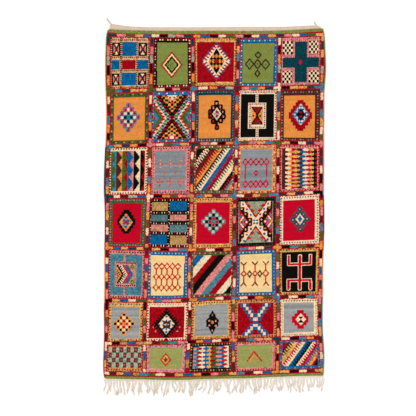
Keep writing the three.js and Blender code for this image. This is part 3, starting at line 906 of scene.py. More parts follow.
def woven_slab(name, x, y, z, bottom, colour, folds=1):
    """A slab of knots: x, y and z on a grid, a flat bottom, and one colour a square. Its bake map lays the
    top in that many folds, one over another, with the skirt and the bottom in a strip below. Its knots map
    counts the squares of the top across and up, for the bump."""
    rows, columns = x.shape
    top, skirt, strips, first, last, ring = slab_faces(rows, columns)
    points = np.stack([x, y, z], -1).reshape(-1, 3)
    under = points[ring].copy()
    under[:, 2] = bottom
    points = np.concatenate([points, under])
    i, j = np.divmod(np.arange((rows - 1) * (columns - 1)), columns - 1)
    corner_j = j[:, None] + np.array([0, 1, 1, 0])
    corner_i = i[:, None] + np.array([0, 0, 1, 1])
    length = -(-(columns - 1) // folds)
    fold = (j // length)[:, None]
    top_u = 0.004 + 0.992 * (corner_j - fold * length) / length
    top_v = 0.06 + 0.93 * (fold + 0.02 + 0.96 * corner_i / (rows - 1)) / folds
    count = len(ring)
    k = np.arange(count)
    skirt_u = 0.01 + 0.98 * np.stack([k, k + 1, k + 1, k], -1) / count
    skirt_v = np.broadcast_to(np.array([0.005, 0.005, 0.022, 0.022]), (count, 4))
    low, span = points.min(0), np.ptp(points, 0)
    bottom_corners = np.concatenate([strips.ravel(), first, last])
    flat = (points[bottom_corners] - low) / span
    bottom_map = np.stack([0.01 + 0.98 * flat[:, 0], 0.03 + 0.02 * flat[:, 1]], -1)
    top_map = np.stack([top_u, top_v], -1).reshape(-1, 2)
    skirt_map = np.stack([skirt_u, skirt_v], -1).reshape(-1, 2)
    bake = np.concatenate([top_map, skirt_map, bottom_map])
    knots_top = np.stack([corner_j, corner_i], -1).reshape(-1, 2)
    rest = np.zeros((len(bake) - len(knots_top), 2)) + 0.5
    top_colour = np.repeat(colour.reshape(-1, 3), 4, 0)
    cell = np.minimum(ring // columns, rows - 2) * (columns - 1) + np.minimum(ring % columns, columns - 2)
    skirt_colour = np.repeat(colour.reshape(-1, 3)[cell], 4, 0)
    bottom_colour = np.broadcast_to(dye_light[dye_number["undyed"]], (len(bottom_corners), 3))
    colours = np.concatenate([top_colour, skirt_colour, bottom_colour])
    maps = (("OFBake", bake), ("knots", np.concatenate([knots_top, rest])))
    return add_mesh(name, points, [top, skirt, strips, first, last], colours, maps, smooth=False)


def wool_material(name, rib_height, roughness, sheen, fleck):
    """Wool in the piece's own colour for each knot, flecked by fine noise and shaded by broad noise. Its bump
    is one mound a knot, |sin(pi x) sin(pi y)| with x and y in knots, and the fine noise."""
    wool = bpy.data.materials.new(name)
    wool.use_nodes = True
    nodes, links = wool.node_tree.nodes, wool.node_tree.links
    shader = nodes["Principled BSDF"]

    def add_node(kind, inputs, operation=None):
        """A new node of the material. Each input is a number, or another node's output to link to it."""
        fresh = nodes.new("ShaderNode" + kind)
        if operation:
            fresh.operation = operation
        for socket, value in inputs.items():
            if isinstance(value, bpy.types.NodeSocket):
                links.new(value, fresh.inputs[socket])
            else:
                fresh.inputs[socket].default_value = value
        return fresh.outputs

    dye = nodes.new("ShaderNodeAttribute")
    dye.attribute_name = "wool colour"
    knot_map = nodes.new("ShaderNodeUVMap")
    knot_map.uv_map = "knots"
    place = add_node("TexCoord", {})["Object"]
    fibre = add_node("TexNoise", {"Vector": place, "Scale": 620.0, "Detail": 3.0})["Fac"]
    patch = add_node("TexNoise", {"Vector": place, "Scale": 26.0, "Detail": 2.0})["Fac"]
    shades = []
    for noise, low, high, spread in ((fibre, 0.25, 0.75, fleck), (patch, 0.3, 0.7, 0.05)):
        ends = {"From Min": low, "From Max": high, "To Min": 1.0 - spread, "To Max": 1.0 + spread}
        shades.append(add_node("MapRange", {"Value": noise, **ends})["Result"])
    shade = add_node("Math", {0: shades[0], 1: shades[1]}, "MULTIPLY")["Value"]
    tinted = add_node("VectorMath", {0: dye.outputs["Color"], "Scale": shade}, "SCALE")["Vector"]
    links.new(tinted, shader.inputs["Base Color"])
    parts = add_node("SeparateXYZ", {"Vector": knot_map.outputs["UV"]})
    mounds = []
    for axis in ("X", "Y"):
        turn = add_node("Math", {0: parts[axis], 1: np.pi}, "MULTIPLY")["Value"]
        wave = add_node("Math", {0: turn}, "SINE")["Value"]
        mounds.append(add_node("Math", {0: wave}, "ABSOLUTE")["Value"])
    mound = add_node("Math", {0: mounds[0], 1: mounds[1]}, "MULTIPLY")["Value"]
    relief = add_node("Math", {0: mound, 1: fibre}, "ADD")["Value"]
    bump = add_node("Bump", {"Strength": 0.7, "Distance": rib_height, "Height": relief})["Normal"]
    links.new(bump, shader.inputs["Normal"])
    shader.inputs["Roughness"].default_value = roughness
    shader.inputs["Specular IOR Level"].default_value = 0.05
    shader.inputs["Sheen Weight"].default_value = sheen
    shader.inputs["Sheen Roughness"].default_value = 0.5
    return wool


pile_wool = wool_material("knotted pile wool", rib_height=0.0012, roughness=0.95, sheen=0.01, fleck=0.12)
pile_bottom = 0.0046
pile_jitter = 0.00045
flat_top = 0.0074
weft_ripple = 0.00012
seam_dip = 0.0004


def pile_height(flat):
    """The top at the corners of the knots: the pile with a little chance at each, a shallow dip along the
    edges, and the flat-woven places lower, with a ripple at every other weft. flat is given for each knot."""
    rows, columns = flat.shape
    z = pile_top + wool_chance.uniform(-pile_jitter, pile_jitter, (rows + 1, columns + 1))
    z[[0, -1], :] -= seam_dip
    z[:, [0, -1]] -= seam_dip
    low = flat[1:, 1:] & flat[:-1, 1:] & flat[1:, :-1] & flat[:-1, :-1]
    ripple = flat_top + weft_ripple * np.cos(np.pi * np.arange(rows - 1))[:, None]
    z[1:-1, 1:-1] = np.where(low, ripple + 0.1 * (z[1:-1, 1:-1] - pile_top), z[1:-1, 1:-1])
    return z


red_at_rim = 0.7
compartment_colours = []
for chart in charts:
    over = np.linspace(0, 1, chart.wide + 1)
    up = np.linspace(0, 1, chart.tall + 1)
    s, t = np.meshgrid(over, up)
    x, y = inside_compartment(chart.row, chart.column, s, t)
    rim = (np.abs(chart.x) > chart.wide / 2 - 1) | (np.abs(chart.y) > chart.tall / 2 - 1)
    strays = rim & (wool_chance.random(rim.shape) < red_at_rim)
    colour = dyed_wool(np.where(strays, dye_number["border red"], chart.dyes), chart.flat)
    name = f"compartment_row_{chart.row + 1}_place_{chart.column + 1}"
    piece = woven_slab(name, x, y, pile_height(chart.flat), pile_bottom, colour)
    piece.data.materials.append(pile_wool)
    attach(piece, "root")
    compartment_colours.append(colour)

# Bars between the compartments.
# A lattice of red bars, eight across the rug and six along it, each with a run of coloured dashes down
# its middle that is knotted with the rest of the pile. Where two bars cross, the one across the rug shows.
rug_node = "woven_rug"
left_heights = 0.001 * np.array(
    [1273, 1252, 1123, 978, 832, 687, 542, 396, 251, 105, -40, -185, -331, -476, -622, -767, -912, -1058]
    + [-1145, -1232, -1262]
)
left_edge = -0.001 * np.array(
    [777, 783, 793, 795, 793, 789, 790, 797, 803, 805, 799, 799, 802, 802, 802, 805, 803, 807, 810, 807, 802]
)
right_heights = 0.001 * np.array(
    [1281, 1252, 1123, 978, 832, 687, 542, 396, 251, 105, -40, -185, -331, -476, -622, -767, -912, -1058]
    + [-1145, -1232, -1243]
)
right_edge = 0.001 * np.array(
    [792, 798, 807, 811, 801, 800, 798, 798, 798, 796, 799, 799, 794, 790, 790, 787, 788, 798, 799, 794, 793]
)
top_places = 0.001 * np.array([-769, -687, -469, 4, 331, 476, 622, 784])
top_edge = 0.001 * np.array([1273, 1269, 1263, 1262, 1261, 1264, 1271, 1281])
bottom_places = 0.001 * np.array([-794, -542, -251, -105, 40, 258, 404, 549, 694, 785])
bottom_edge = -0.001 * np.array([1265, 1270, 1274, 1269, 1265, 1261, 1254, 1248, 1244, 1243])
cord_room = 0.0086
cloth_wide, cloth_long = 1.6, 2.53
top_band, bottom_band = 0.021, 0.018


def left_side(y):
    """x of the pile's left side at y, inside the rug's edge by the room that the bound cord takes."""
    return eased(y, left_heights, left_edge) + cord_room


def right_side(y):
    """x of the pile's right side at y, inside the rug's edge in the same way."""
    return eased(y, right_heights, right_edge) - cord_room


def end_line(end, x):
    """y of the cloth's upper or lower end."""
    return eased(x, top_places, top_edge) if end == "top" else eased(x, bottom_places, bottom_edge)


# The dashes of each bar are written as the weaver counts them: a dye and how many knots long, from the left
# or from the top, with one red knot between two dashes, and more where border red is written.
dashes_across = [
    """border red 6, dark teal 12, pink 13, olive 12, gold 12, blue 11, cream 11, black 12, sage 11,
    pink 11, dark teal 11, border red 1, orange 10, blue 13, black 11, cream 11, olive 12, pink 12,
    black 11, cream 11, blue 12, gold 11, dark teal 11, pink 11, cream 11, blue 10, olive 11, gold 11""",
    """border red 2, olive 13, light teal 10, dark teal 11, gold 13, gold 11, olive 12, cream 12, black 10,
    pink 11, brown 14, light teal 11, cream 14, border red 1, orange 11, dark teal 11, sage 12, brown 10,
    pink 11, light teal 12, orange 10, dark teal 11, cream 11, black 12, gold 11, orange 13, dark teal 9,
    light teal 12""",
    """border red 4, light teal 10, gold 11, dark teal 11, orange 11, black 12, pink 13, cream 11, olive 11,
    light teal 11, gold 13, dark teal 15, pink 14, cream 10, black 11, orange 11, light teal 9, olive 11,
    pink 12, gold 12, light teal 11, olive 11, gold 12, black 11, cream 11, dark teal 11, pink 13""",
    """border red 2, dark teal 11, cream 9, brown 11, sage 13, blue 12, cream 10, black 12, orange 11,
    olive 10, pink 12, tan 11, border red 1, light teal 12, gold 11, dark teal 11, pink 11, light teal 11,
    cream 11, brown 11, gold 11, olive 12, light teal 13, brown 12, gold 12, dark teal 12, cream 13,
    black 14""",
    """border red 1, orange 12, blue 10, gold 10, dark teal 11, gold 10, brown 11, gold 12, black 12,
    pink 13, light teal 13, orange 12, olive 13, cream 13, black 12, orange 10, brown 12, light teal 11,
    pink 11, cream 12, dark teal 12, orange 12, black 11, light teal 12, olive 11, brown 11, orange 12""",
    """border red 1, black 10, gold 11, blue 11, cream 11, olive 16, gold 9, light teal 11, pink 14,
    gold 13, brown 11, orange 11, blue 15, olive 10, cream 12, brown 10, light teal 11, cream 11, black 10,
    orange 12, olive 12, light teal 11, brown 11, cream 14, black 11, light teal 11, pink 11""",
    """border red 1, cream 10, black 11, tan 10, blue 12, tan 10, gold 12, brown 11, olive 11,
    light teal 13, pink 14, black 12, orange 10, blue 12, cream 13, black 11, orange 11, brown 12,
    light teal 11, pink 13, gold 12, dark teal 13, cream 12, black 13, light teal 10, orange 10,
    brown 11""",
    """cream 8, brown 9, gold 10, blue 11, border red 1, tan 9, light teal 13, olive 9, cream 14, brown 13,
    gold 12, blue 14, orange 11, black 13, pink 11, olive 14, gold 11, light teal 11, brown 12, cream 13,
    blue 12, orange 11, gold 14, black 13, cream 11, brown 11, gold 11""",
]
dashes_along = [
    """border red 1, dark teal 15, border red 1, pink 14, sage 14, black 14, orange 14, olive 15, cream 11,
    brown 13, border red 2, light teal 12, orange 12, black 10, pink 6, light teal 9, olive 12, cream 11,
    brown 13, light teal 12, gold 11, dark teal 12, pink 11, gold 13, olive 9, cream 11, dark teal 10,
    orange 11, brown 10, cream 9, blue 11, gold 13, dark teal 10, pink 15, black 15, orange 10, olive 11,
    pink 10, brown 12, cream 13, blue 13, gold 10, pink 5""",
    """border red 7, dark teal 12, pink 12, sage 12, black 14, orange 15, olive 11, border red 3, cream 13,
    brown 11, light teal 13, orange 13, black 10, pink 13, border red 2, olive 12, cream 13, brown 12,
    light teal 11, orange 13, cream 13, pink 12, gold 12, olive 10, cream 11, dark teal 11, orange 6,
    border red 1, brown 9, border red 1, pink 9, blue 11, gold 12, dark teal 11, pink 13, border red 4,
    black 12, orange 11, olive 10, pink 11, brown 12, border red 3, cream 9, blue 12, tan 11, cream 5""",
    """border red 8, dark teal 11, pink 10, sage 12, black 14, border red 1, orange 12, olive 5,
    light teal 8, cream 13, border red 1, brown 12, border red 1, light teal 12, orange 12, black 11,
    pink 5, dark teal 11, border red 1, cream 11, olive 11, brown 9, dark teal 14, orange 11, border red 1,
    tan 12, border red 1, pink 11, gold 12, olive 10, cream 11, dark teal 12, orange 8, brown 10, pink 11,
    light teal 9, gold 13, dark teal 10, pink 13, border red 4, cream 12, black 11, olive 11, pink 10,
    brown 11, cream 12, border red 1, blue 11, tan 12""",
    """border red 7, dark teal 11, gold 11, light teal 11, brown 11, pink 13, dark teal 10, brown 8,
    border red 3, light teal 11, orange 11, olive 12, gold 12, brown 13, light teal 17, cream 11,
    dark teal 11, gold 12, black 11, pink 11, light teal 14, border red 4, orange 6, dark teal 10, pink 11,
    brown 10, olive 10, light teal 11, brown 13, pink 9, dark teal 11, olive 11, cream 13, light teal 11,
    border red 4, gold 7, olive 11, pink 13, black 12, pink 12, border red 3, blue 12, tan 8, gold 8,
    brown 13""",
    """border red 7, cream 11, black 12, orange 14, sage 12, brown 13, cream 13, light teal 14,
    dark teal 14, gold 12, olive 14, cream 14, olive 11, gold 13, brown 12, cream 11, black 13, pink 12,
    light teal 14, dark teal 8, pink 11, olive 14, light teal 11, brown 13, orange 12, olive 13, cream 11,
    light teal 10, orange 12, dark teal 11, cream 3, light teal 10, olive 12, pink 12, brown 10, gold 11,
    dark teal 12, gold 12, black 10, orange 16""",
    """border red 1, gold 10, dark teal 12, gold 11, brown 11, sage 12, orange 11, light teal 14, cream 11,
    brown 12, light teal 12, gold 12, cream 12, olive 7, pink 10, border red 1, brown 10, dark teal 11,
    border red 1, cream 11, black 14, pink 11, black 9, border red 1, orange 9, pink 13, brown 10,
    light teal 12, olive 12, orange 13, black 12, cream 12, blue 10, pink 8, dark teal 12, pink 22,
    olive 10, black 9, light teal 11, gold 14, brown 9, pink 12, cream 11, light teal 12, gold 6""",
]
first_knot_across, first_knot_along = -0.805, 1.2505
dash_half = 1.9
dash_round = 0.8
ragged_sides = 0.5


def mark_dashes(dyes, away, along, ragged, line):
    """Gives each dash's dye to the points in its rounded block. The points are given in knots away from the
    bar's middle and along it, and ragged is what their side edges are out by."""
    start = 0
    for dash in line.replace("\n", " ").split(", "):
        dye, knots = dash.rsplit(" ", 1)
        length = int(knots)
        ends = np.abs(along - start - length / 2) - (length / 2 - dash_round)
        sides = np.abs(away) - (dash_half - dash_round) + ragged
        block = np.hypot(np.maximum(ends, 0), np.maximum(sides, 0)) < dash_round
        dyes[block] = dye_number[dye.strip()]
        start += length + 1


def bar_dyes(x, y):
    """The dyes of the bars at points x and y: red, with the dashes of every line that passes there."""
    dyes = np.full(x.shape, dye_number["border red"])
    ragged = wool_chance.uniform(-ragged_sides, ragged_sides, x.shape)
    across, down = (x - first_knot_across) / knot, (first_knot_along - y) / knot
    for line, dashes in enumerate(dashes_along):
        mark_dashes(dyes, (x - along_line(line, y)) / knot, down, ragged, dashes)
    for line, dashes in enumerate(dashes_across):
        mark_dashes(dyes, (y - across_line(line, x)) / knot, across, ragged, dashes)
    return dyes


def middles(grid):
    """The middle of each square of a grid."""
    return (grid[:-1, :-1] + grid[1:, :-1] + grid[:-1, 1:] + grid[1:, 1:]) / 4


def laid_strip(lower, upper, count, rows):
    """A grid from the cloth's left side to its right, between two lines that give y at each x."""
    share, rise = np.linspace(0, 1, count)[None, :], np.linspace(0, 1, rows)[:, None]
    x = cloth_wide * (share - 0.5) + 0 * rise
    for _ in range(4):
        y = lower(x) + (upper(x) - lower(x)) * rise
        x = left_side(y) + (right_side(y) - left_side(y)) * share
    return x, y


def add_bar(name, x, y, folds):
    """One bar on its grid of knots, in pile, with the dashes that pass over it."""
    colour = dyed_wool(bar_dyes(middles(x), middles(y)))
    piece = woven_slab(name, x, y, pile_height(np.zeros(colour.shape[:2], bool)), pile_bottom, colour, folds)
    piece.data.materials.append(pile_wool)
    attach(piece, "root")


def bar_lower(line, x):
    """y of a bar's lower side at x: half a bar below its line, or the last bar's at the green band."""
    return across_line(line, x) - half_bar if line < 7 else end_line("bottom", x) + bottom_band


def bar_upper(line, x):
    """y of a bar's upper side at x: half a bar above its line, or the first bar's at the green band."""
    return across_line(line, x) + half_bar if line > 0 else end_line("top", x) - top_band


bar_cells = 326
for line in range(8):
    cells = 8 if 0 < line < 7 else 9
    x, y = laid_strip(lambda x: bar_lower(line, x), lambda x: bar_upper(line, x), bar_cells + 1, cells + 1)
    add_bar(f"across_bar_{line + 1}", x, y, folds=8)

for line in range(6):
    cells = 8 if 0 < line < 5 else 9
    share = np.linspace(0, 1, cells + 1)[::-1, None]
    for row in range(7):
        up = np.linspace(0, 1, charts[5 * row].tall + 1)[None, :]
        x = along_lines[line][row] + 0 * share * up
        y = row_middle[row] + 0 * share * up
        for _ in range(5):
            left = left_side(y) if line == 0 else along_line(line, y) - half_bar
            right = right_side(y) if line == 5 else along_line(line, y) + half_bar
            x = left + (right - left) * share
            low, high = across_line(row + 1, x) + half_bar, across_line(row, x) - half_bar
            y = low + (high - low) * up
        add_bar(f"along_bar_{line + 1}_row_{row + 1}", x, y, folds=3)

# Green end bands.
# A narrow flat-woven band of plain green wool that closes the pile at each end, woven in one with the ground.
band_wool = wool_material("flat woven green wool", rib_height=0.0007, roughness=0.95, sheen=0.08, fleck=0.12)
band_top = 0.0072
band_ripple = 0.0003
band_cells, band_rows = 400, 8
for end, base, tip in (("top", -top_band, 0.0), ("bottom", 0.0, bottom_band)):
    lower, upper = lambda x: end_line(end, x) + base, lambda x: end_line(end, x) + tip
    x, y = laid_strip(lower, upper, band_cells + 1, band_rows + 1)
    ripple = np.cos(np.pi * np.arange(band_rows + 1))[:, None] + 0.5 * np.sin(90 * x)
    z = band_top + band_ripple * ripple
    green = dyed_wool(np.full((band_rows, band_cells), dye_number["green"]))
    piece = woven_slab(f"green_band_{end}", x, y, z, pile_bottom, green, folds=8)
    piece.data.materials.append(band_wool)
    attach(piece, "root")

# Ground cloth.
# The cotton and wool cloth that every knot is tied into. From above the pile hides it; on the back the same
# charts show, knot for knot, a little duller. It lies flat on the floor.
ground_top = 0.0052
ground_step = 0.0083
back_ripple = 0.0001
back_dull = 0.82
across_cells, up_cells = int(cloth_wide / ground_step), int(cloth_long / ground_step)
s, t = np.meshgrid(np.linspace(0, 1, across_cells + 1), np.linspace(0, 1, up_cells + 1))
x, y = cloth_wide * (s - 0.5), cloth_long * (t - 0.5)
for _ in range(5):
    x = left_side(y) + (right_side(y) - left_side(y)) * s
    low, high = end_line("bottom", x), end_line("top", x)
    y = low + (high - low) * t


def back_colours(x, y):
    """The colour on the back at points x and y: that of the knot in the compartment, bar or band there."""
    colour = dye_light[bar_dyes(x, y)]
    band = (y > end_line("top", x) - top_band) | (y < end_line("bottom", x) + bottom_band)
    colour[band] = dye_light[dye_number["green"]]
    for chart, knots in zip(charts, compartment_colours):
        left = along_line(chart.column, y) + half_bar
        right = along_line(chart.column + 1, y) - half_bar
        low, high = across_line(chart.row + 1, x) + half_bar, across_line(chart.row, x) - half_bar
        over, up = (x - left) / (right - left), (y - low) / (high - low)
        here = (over >= 0) & (over < 1) & (up >= 0) & (up < 1)
        i, j = (up[here] * chart.tall).astype(int), (over[here] * chart.wide).astype(int)
        colour[here] = knots[i, j]
    return colour * back_dull


# The grid is the back, so it is turned over: its rows run the other way and the flat side is the top.
z = np.zeros_like(x) + back_ripple * (1 + np.cos(np.pi * np.arange(up_cells + 1)))[:, None]
x, y, z = x[::-1], y[::-1], z[::-1]
ground = woven_slab("ground_weave", x, y, z, ground_top, back_colours(middles(x), middles(y)))
back_wool = wool_material("back of the knots", rib_height=0.0008, roughness=0.95, sheen=0.05, fleck=0.12)
ground.data.materials.append(back_wool)
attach(ground, "root")
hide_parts(rug_node)

# Selvedges.
# Each long edge is bound: the outer warps are wrapped round and round in wool, in blocks of colour that
# change every few hands, to make a firm round cord along the side of the cloth.
wrap_pitch = 0.0052
wrap_stations, wrap_sides = 4, 12
selvedge_blocks = {
    "left": (
        ("green", 1.3), ("orange", 0.832), ("dark teal", 0.418), ("border red", 0.047), ("orange", -0.331),
        ("border red", -0.716),
    ),
    "right": (
        ("green", 1.3), ("orange", 0.832), ("grey", 0.418), ("border red", 0.069), ("orange", -0.331),
        ("faded teal", -0.672), ("green", -0.985),
    ),
}


def wound_cords(name, paths, wide, tall, sides, lobes, pitch, depth, colours):
    """Cords that lie along paths, an array of cords by stations by xyz. A section is an ellipse, wide by
    tall, times 1 + depth cos(lobes angle - 2 pi length/pitch), so that one lobe winds like a wrap and two
    like a two-ply yarn. Both ends are rounded off and closed. colours holds one for each cord and station."""
    count, stations, _ = paths.shape
    steps = np.diff(paths, axis=1)
    length = np.concatenate([np.zeros((count, 1)), np.cumsum(np.linalg.norm(steps, axis=2), 1)], 1)
    ahead = np.gradient(paths, axis=1)
    ahead = ahead / np.linalg.norm(ahead, axis=2, keepdims=True)
    beside = np.stack([ahead[..., 1], -ahead[..., 0], np.zeros_like(ahead[..., 0])], -1)
    beside = beside / np.linalg.norm(beside, axis=2, keepdims=True)
    above = np.cross(beside, ahead)
    angle = 2 * np.pi * np.arange(sides) / sides
    swell = 1.0 + depth * np.cos(lobes * angle - 2 * np.pi * length[..., None] / pitch)
    from_end = np.minimum(length, length[:, -1:] - length) / tall
    taper = np.sqrt(np.clip(1 - (1 - np.clip(2 * from_end, 0, 1)) ** 2, 0.12, 1))[..., None]
    reach_x = np.broadcast_to(wide, length.shape)[..., None] / 2
    reach_z = np.broadcast_to(tall, length.shape)[..., None] / 2
    out_x = (np.cos(angle) * swell * taper * reach_x)[..., None]
    out_z = (np.sin(angle) * swell * taper * reach_z)[..., None]
    points = paths[:, :, None] + beside[:, :, None] * out_x + above[:, :, None] * out_z
    number = np.arange(count * stations * sides).reshape(count, stations, sides)
    here, there = number[:, :-1], number[:, 1:]
    walls = np.stack([here, there, np.roll(there, -1, 2), np.roll(here, -1, 2)], -1).reshape(-1, 4)
    caps = np.concatenate([number[:, 0], number[:, -1, ::-1]])
    cord, station, side = np.indices((count, stations - 1, sides))
    corner_side = side[..., None] + np.array([0, 0, 1, 1])
    corner_station = station[..., None] + np.array([0, 1, 1, 0])
    # The map of a single long cord is cut into runs that lie side by side.
    folds = 1 if count > 1 else 24
    fold_length = -(-(stations - 1) // folds)
    fold = station[..., None] // fold_length
    u = (cord[..., None] * folds + fold + 0.04 + 0.92 * corner_side / sides) / (count * folds)
    v = 0.01 + 0.95 * (corner_station - fold * fold_length) / fold_length
    cap_middle, cap_reach = 0.983, 0.006
    cap_u = (np.arange(count)[:, None] + 0.5 + 0.3 * np.cos(angle)) / count
    cap_v = cap_reach * np.sin(angle) + 0 * cap_u
    wall_map = np.stack([u, v], -1).reshape(-1, 2)
    first_cap = np.stack([cap_u, cap_middle + cap_v], -1).reshape(-1, 2)
    last_cap = np.stack([cap_u, cap_middle - cap_v], -1)[:, ::-1].reshape(-1, 2)
    bake = np.concatenate([wall_map, first_cap, last_cap])
    turns = length[cord[..., None], corner_station] / pitch
    wind = np.stack([lobes * corner_side / sides - turns, turns], -1).reshape(-1, 2)
    wind = np.concatenate([wind, np.zeros((2 * count * sides, 2)) + 0.5])
    wall_colours = np.repeat(np.repeat(colours[:, :-1].reshape(-1, 3), sides, 0), 4, 0)
    cap_colours = np.repeat(np.concatenate([colours[:, 0], colours[:, -1]]), sides, 0)
    maps = (("OFBake", bake), ("knots", wind))
    colours = np.concatenate([wall_colours, cap_colours])
    return add_mesh(name, points.reshape(-1, 3), [walls, caps], colours, maps, smooth=True)


wrap_wool = wool_material("wrapped selvedge wool", rib_height=0.0008, roughness=0.9, sheen=0.1, fleck=0.12)
wrap_wide, wrap_tall, wrap_bulge = 0.0078, 0.0076, 0.07
wrap_middle, wrap_height, wrap_inset = 0.0040, 0.0041, 0.001
for side, side_line, turn in (("left", left_side, -1), ("right", right_side, 1)):
    node = f"{side}_selvedge"
    low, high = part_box(node)
    stations = int((high[1] - low[1] - 2 * wrap_inset) / wrap_pitch) * wrap_stations
    y = np.linspace(high[1] - wrap_inset, low[1] + wrap_inset, stations)
    x = side_line(y) + turn * wrap_middle
    path = np.stack([x, y, np.full(stations, wrap_height)], -1)[None]
    starts = np.array([start for _, start in selvedge_blocks[side]])
    block = np.searchsorted(-starts, -y) - 1
    numbers = np.array([dye_number[dye] for dye, _ in selvedge_blocks[side]])[np.maximum(block, 0)]
    wraps = wool_chance.normal(1.0, 0.07, stations // wrap_stations + 1)[np.arange(stations) // wrap_stations]
    colours = (dye_light[numbers] * wraps[:, None])[None]
    winding = {"lobes": 1, "pitch": wrap_pitch, "depth": wrap_bulge, "colours": colours}
    piece = wound_cords(f"{side}_bound_edge", path, wrap_wide, wrap_tall, wrap_sides, **winding)
    piece.data.materials.append(wrap_wool)
    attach(piece, "root")
    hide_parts(node)

# Heading.
# At the upper end the warp ends are plaited over one another into a flat cream band, with a harder
# twisted rim along its free edge.
heading_left, heading_right = -0.7675, 0.7815
left_taper, right_taper = 0.007, 0.011
heading_edge = [(-0.7595, 1.3065), (-0.738, 1.313), (-0.687, 1.305), (-0.614, 1.296), (-0.469, 1.290)]
heading_edge += [(-0.105, 1.290), (0.185, 1.292), (0.476, 1.293), (0.622, 1.298), (0.694, 1.303)]
heading_edge = np.array([*heading_edge, (0.745, 1.304), (0.772, 1.293)])
heading_top, heading_bottom = 0.0040, 0.0002
cloth_gap, rim_inset, edge_dip = 0.0004, 0.0006, 0.0006
plait_pitch, plait_depth, rim_rise = 0.0065, 0.00035, 0.0008
heading_count, heading_rows = 481, 17
share = np.linspace(0, 1, heading_rows)[:, None]
left, right = heading_left + left_taper * share, heading_right - right_taper * share
x = left + (right - left) * np.linspace(0, 1, heading_count)
lower = end_line("top", x) + cloth_gap
upper = np.interp(x, heading_edge[:, 0], heading_edge[:, 1]) - rim_inset
y = lower + (upper - lower) * share
plait = np.cos(2 * np.pi * (x + 0.6 * np.abs(share - 0.45) * (upper - lower)) / plait_pitch)
rim = np.exp(-(((share - 0.93) / 0.07) ** 2))
z = heading_top - 2 * plait_depth + plait_depth * plait * (1 - rim) + rim_rise * rim
z[[0, -1], :] -= edge_dip
row_share = (np.arange(heading_rows - 1) + 0.5)[:, None] / (heading_rows - 1)
# Painted shade: the cotton darkens towards both long edges of the band, next to the higher cloth and over the
# rounded rim.
shade = np.interp(row_share, [0, 0.12, 0.3, 0.75, 0.9, 1.0], [0.74, 0.84, 0.97, 1.0, 0.9, 0.78])
# Each thread's tone differs at random, and the cotton is painted lighter where the plait rises, a painted
# highlight on its crossings.
thread_tone_and_plait_light = wool_chance.normal(1.0, 0.05, (heading_rows - 1, heading_count - 1)) * (1 + 0.09 * middles(plait))
cotton = linear_dye("DFC6AE")
rosy = 1 + 0.03 * np.sin(31 * middles(x))[..., None] * np.array([1.0, -0.3, -0.4])
colour = np.clip(cotton * (shade * thread_tone_and_plait_light)[..., None] * rosy, 0, 1)
heading = woven_slab("plaited_heading", x, y, z, heading_bottom, colour, folds=10)
warp_cotton = wool_material("plaited warp cotton", rib_height=0.0006, roughness=0.9, sheen=0.1, fleck=0.1)
heading.data.materials.append(warp_cotton)
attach(heading, "root")
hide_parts("top_heading")

# Corner tufts.
# A few warps are left long at each upper corner and twisted to a short two-ply end.
tuft_stations, tuft_sides = 60, 12
tuft_height, tuft_tall = 0.0027, 0.0044
tuft_pitch, tuft_depth = 0.012, 0.14
tuft_tip = {"left": 0.0085, "right": 0.006}
tuft_paths = {
    "left": [(-0.7450, 1.3095), (-0.7560, 1.3180), (-0.7660, 1.3290), (-0.7745, 1.3420), (-0.7830, 1.3560)],
    "right": [(0.7420, 1.3035), (0.7370, 1.3120), (0.7300, 1.3220), (0.7245, 1.3310)],
}
for side, corners in tuft_paths.items():
    corners = np.array(corners)
    share = np.linspace(0, 1, len(corners))
    along = np.linspace(0, 1, tuft_stations)
    x, y = eased(along, share, corners[:, 0]), eased(along, share, corners[:, 1])
    path = np.stack([x, y, np.full(tuft_stations, tuft_height)], -1)[None]
    wide = np.interp(along, [0, 0.4, 1], [0.0055, 0.0065, tuft_tip[side]])[None]
    colours = (linear_dye("C3B496") * wool_chance.normal(1.0, 0.04, (tuft_stations, 1)))[None]
    winding = {"lobes": 2, "pitch": tuft_pitch, "depth": tuft_depth, "colours": colours}
    piece = wound_cords(f"{side}_tuft", path, wide, tuft_tall, tuft_sides, **winding)
    piece.data.materials.append(warp_cotton)
    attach(piece, "root")
    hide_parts(f"{side}_corner_tuft")

# Fringe.
# At the lower end the warps are left as a fringe: bundles of limp cream yarn that come out under a narrow
# twined heading, wander a little, and cling together in twos and threes at their darker tips.
bundle_count = 72
yarns_each = 3
fringe_left, fringe_right = -0.797, 0.788
fringe_low, fringe_high = -0.812, 0.803
left_long, right_long = 0.106, 0.098
yarn_stations, yarn_sides = 46, 8
yarn_tall, ply_pitch, ply_depth = 0.0028, 0.011, 0.13
root_drop, root_gap, tip_gap = 0.004, 0.0062, 0.0016
yarn_height, yarn_stack, yarn_wave = 0.0015, 0.0011, 0.0002
slow_lean, bundle_curl, yarn_curl = 0.014, 0.0105, 0.0045
bundle = np.repeat(np.arange(bundle_count), yarns_each)
member = np.tile(np.arange(yarns_each) - 1.0, bundle_count)
share = bundle / (bundle_count - 1)
yarns = len(bundle)


def one_a_bundle(spread):
    """A chance length for each bundle, the same for its yarns."""
    return wool_chance.uniform(-spread, spread, bundle_count)[bundle]


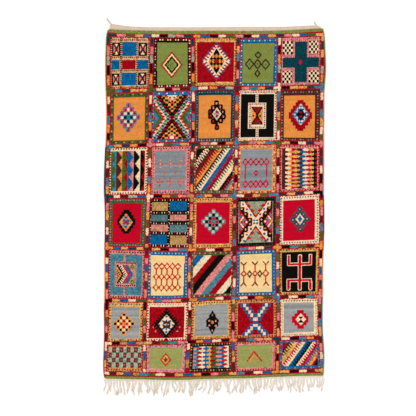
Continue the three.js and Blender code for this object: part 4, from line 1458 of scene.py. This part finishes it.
sway = np.sin(np.pi * np.clip(share, 0.06, 0.94))
root_x = fringe_left + (fringe_right - fringe_left) * share + 0.3 * one_a_bundle(0.02) * np.sin(np.pi * share)
long = left_long + (right_long - left_long) * share + one_a_bundle(0.019)
long = long + wool_chance.uniform(-0.014, 0.005, yarns)
lean = (one_a_bundle(0.03) + slow_lean * np.sin(41 * share)) * sway
lean = lean + wool_chance.uniform(-0.0045, 0.0045, yarns)
t = np.linspace(0, 1, yarn_stations)[None, :]
of_bundle, of_yarn = bundle[:, None], member[:, None]
apart = root_gap * of_yarn * (1 - t) ** 0.7 + tip_gap * of_yarn * t
turns = 0.7 + 0.9 * wool_chance.random((yarns, 1))
bundle_turns = 0.85 + 0.3 * np.sin(5 * of_bundle)
wander = bundle_curl * np.sin(2 * np.pi * bundle_turns * t + 7 * of_bundle)
wander = (wander + yarn_curl * np.sin(2 * np.pi * turns * t + 6 * turns)) * t
x = np.clip(root_x[:, None] + lean[:, None] * t**1.5 + apart + wander, fringe_low, fringe_high)
y = end_line("bottom", root_x)[:, None] - root_drop - long[:, None] * t
z = yarn_height + yarn_stack * (of_yarn + 1) * (1 - 0.5 * t) + yarn_wave * np.sin(5 * t + of_bundle)
paths = np.stack([x, y, z], -1)
wide = np.interp(t, [0, 0.5, 1], [0.0034, 0.0036, 0.0040]) + 0 * x
root_tint, tip_tint = linear_dye("F3E5D4"), linear_dye("E2CDB3")
tint = wool_chance.normal(1.0, 0.03, (yarns, 1, 1))
colours = (root_tint + (tip_tint - root_tint) * t[..., None] ** 1.4) * tint
winding = {"lobes": 2, "pitch": ply_pitch, "depth": ply_depth, "colours": colours}
fringe = wound_cords("warp_fringe", paths, wide, yarn_tall, yarn_sides, **winding)
fringe.data.materials.append(warp_cotton)
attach(fringe, "root")
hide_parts("bottom_fringe")

twine_count, twine_rows = 401, 7
twine_left, twine_right = -0.792, 0.776
twine_drop, twine_deep, twine_pitch = 0.0095, 0.0099, 0.006
twine_top, twine_ridge, twine_dip, twine_bottom = 0.0036, 0.0004, 0.0007, 0.0003
x = np.linspace(twine_left, twine_right, twine_count)[None, :]
share = np.linspace(0, 1, twine_rows)[:, None]
y = end_line("bottom", x) - twine_drop + twine_deep * share
x = x + 0 * y
z = twine_top + twine_ridge * np.cos(2 * np.pi * (x / twine_pitch + 0.8 * np.abs(share - 0.5)))
z[[0, -1], :] -= twine_dip
colour = linear_dye("F3DCC3") * wool_chance.normal(0.99, 0.03, (twine_rows - 1, twine_count - 1, 1))
twine = woven_slab("twined_heading", x, y, z, twine_bottom, np.clip(colour, 0, 1), folds=8)
twine.data.materials.append(warp_cotton)
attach(twine, "root")

# Sizes.
# The box round everything that renders, leaving out the floor.
low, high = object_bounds()
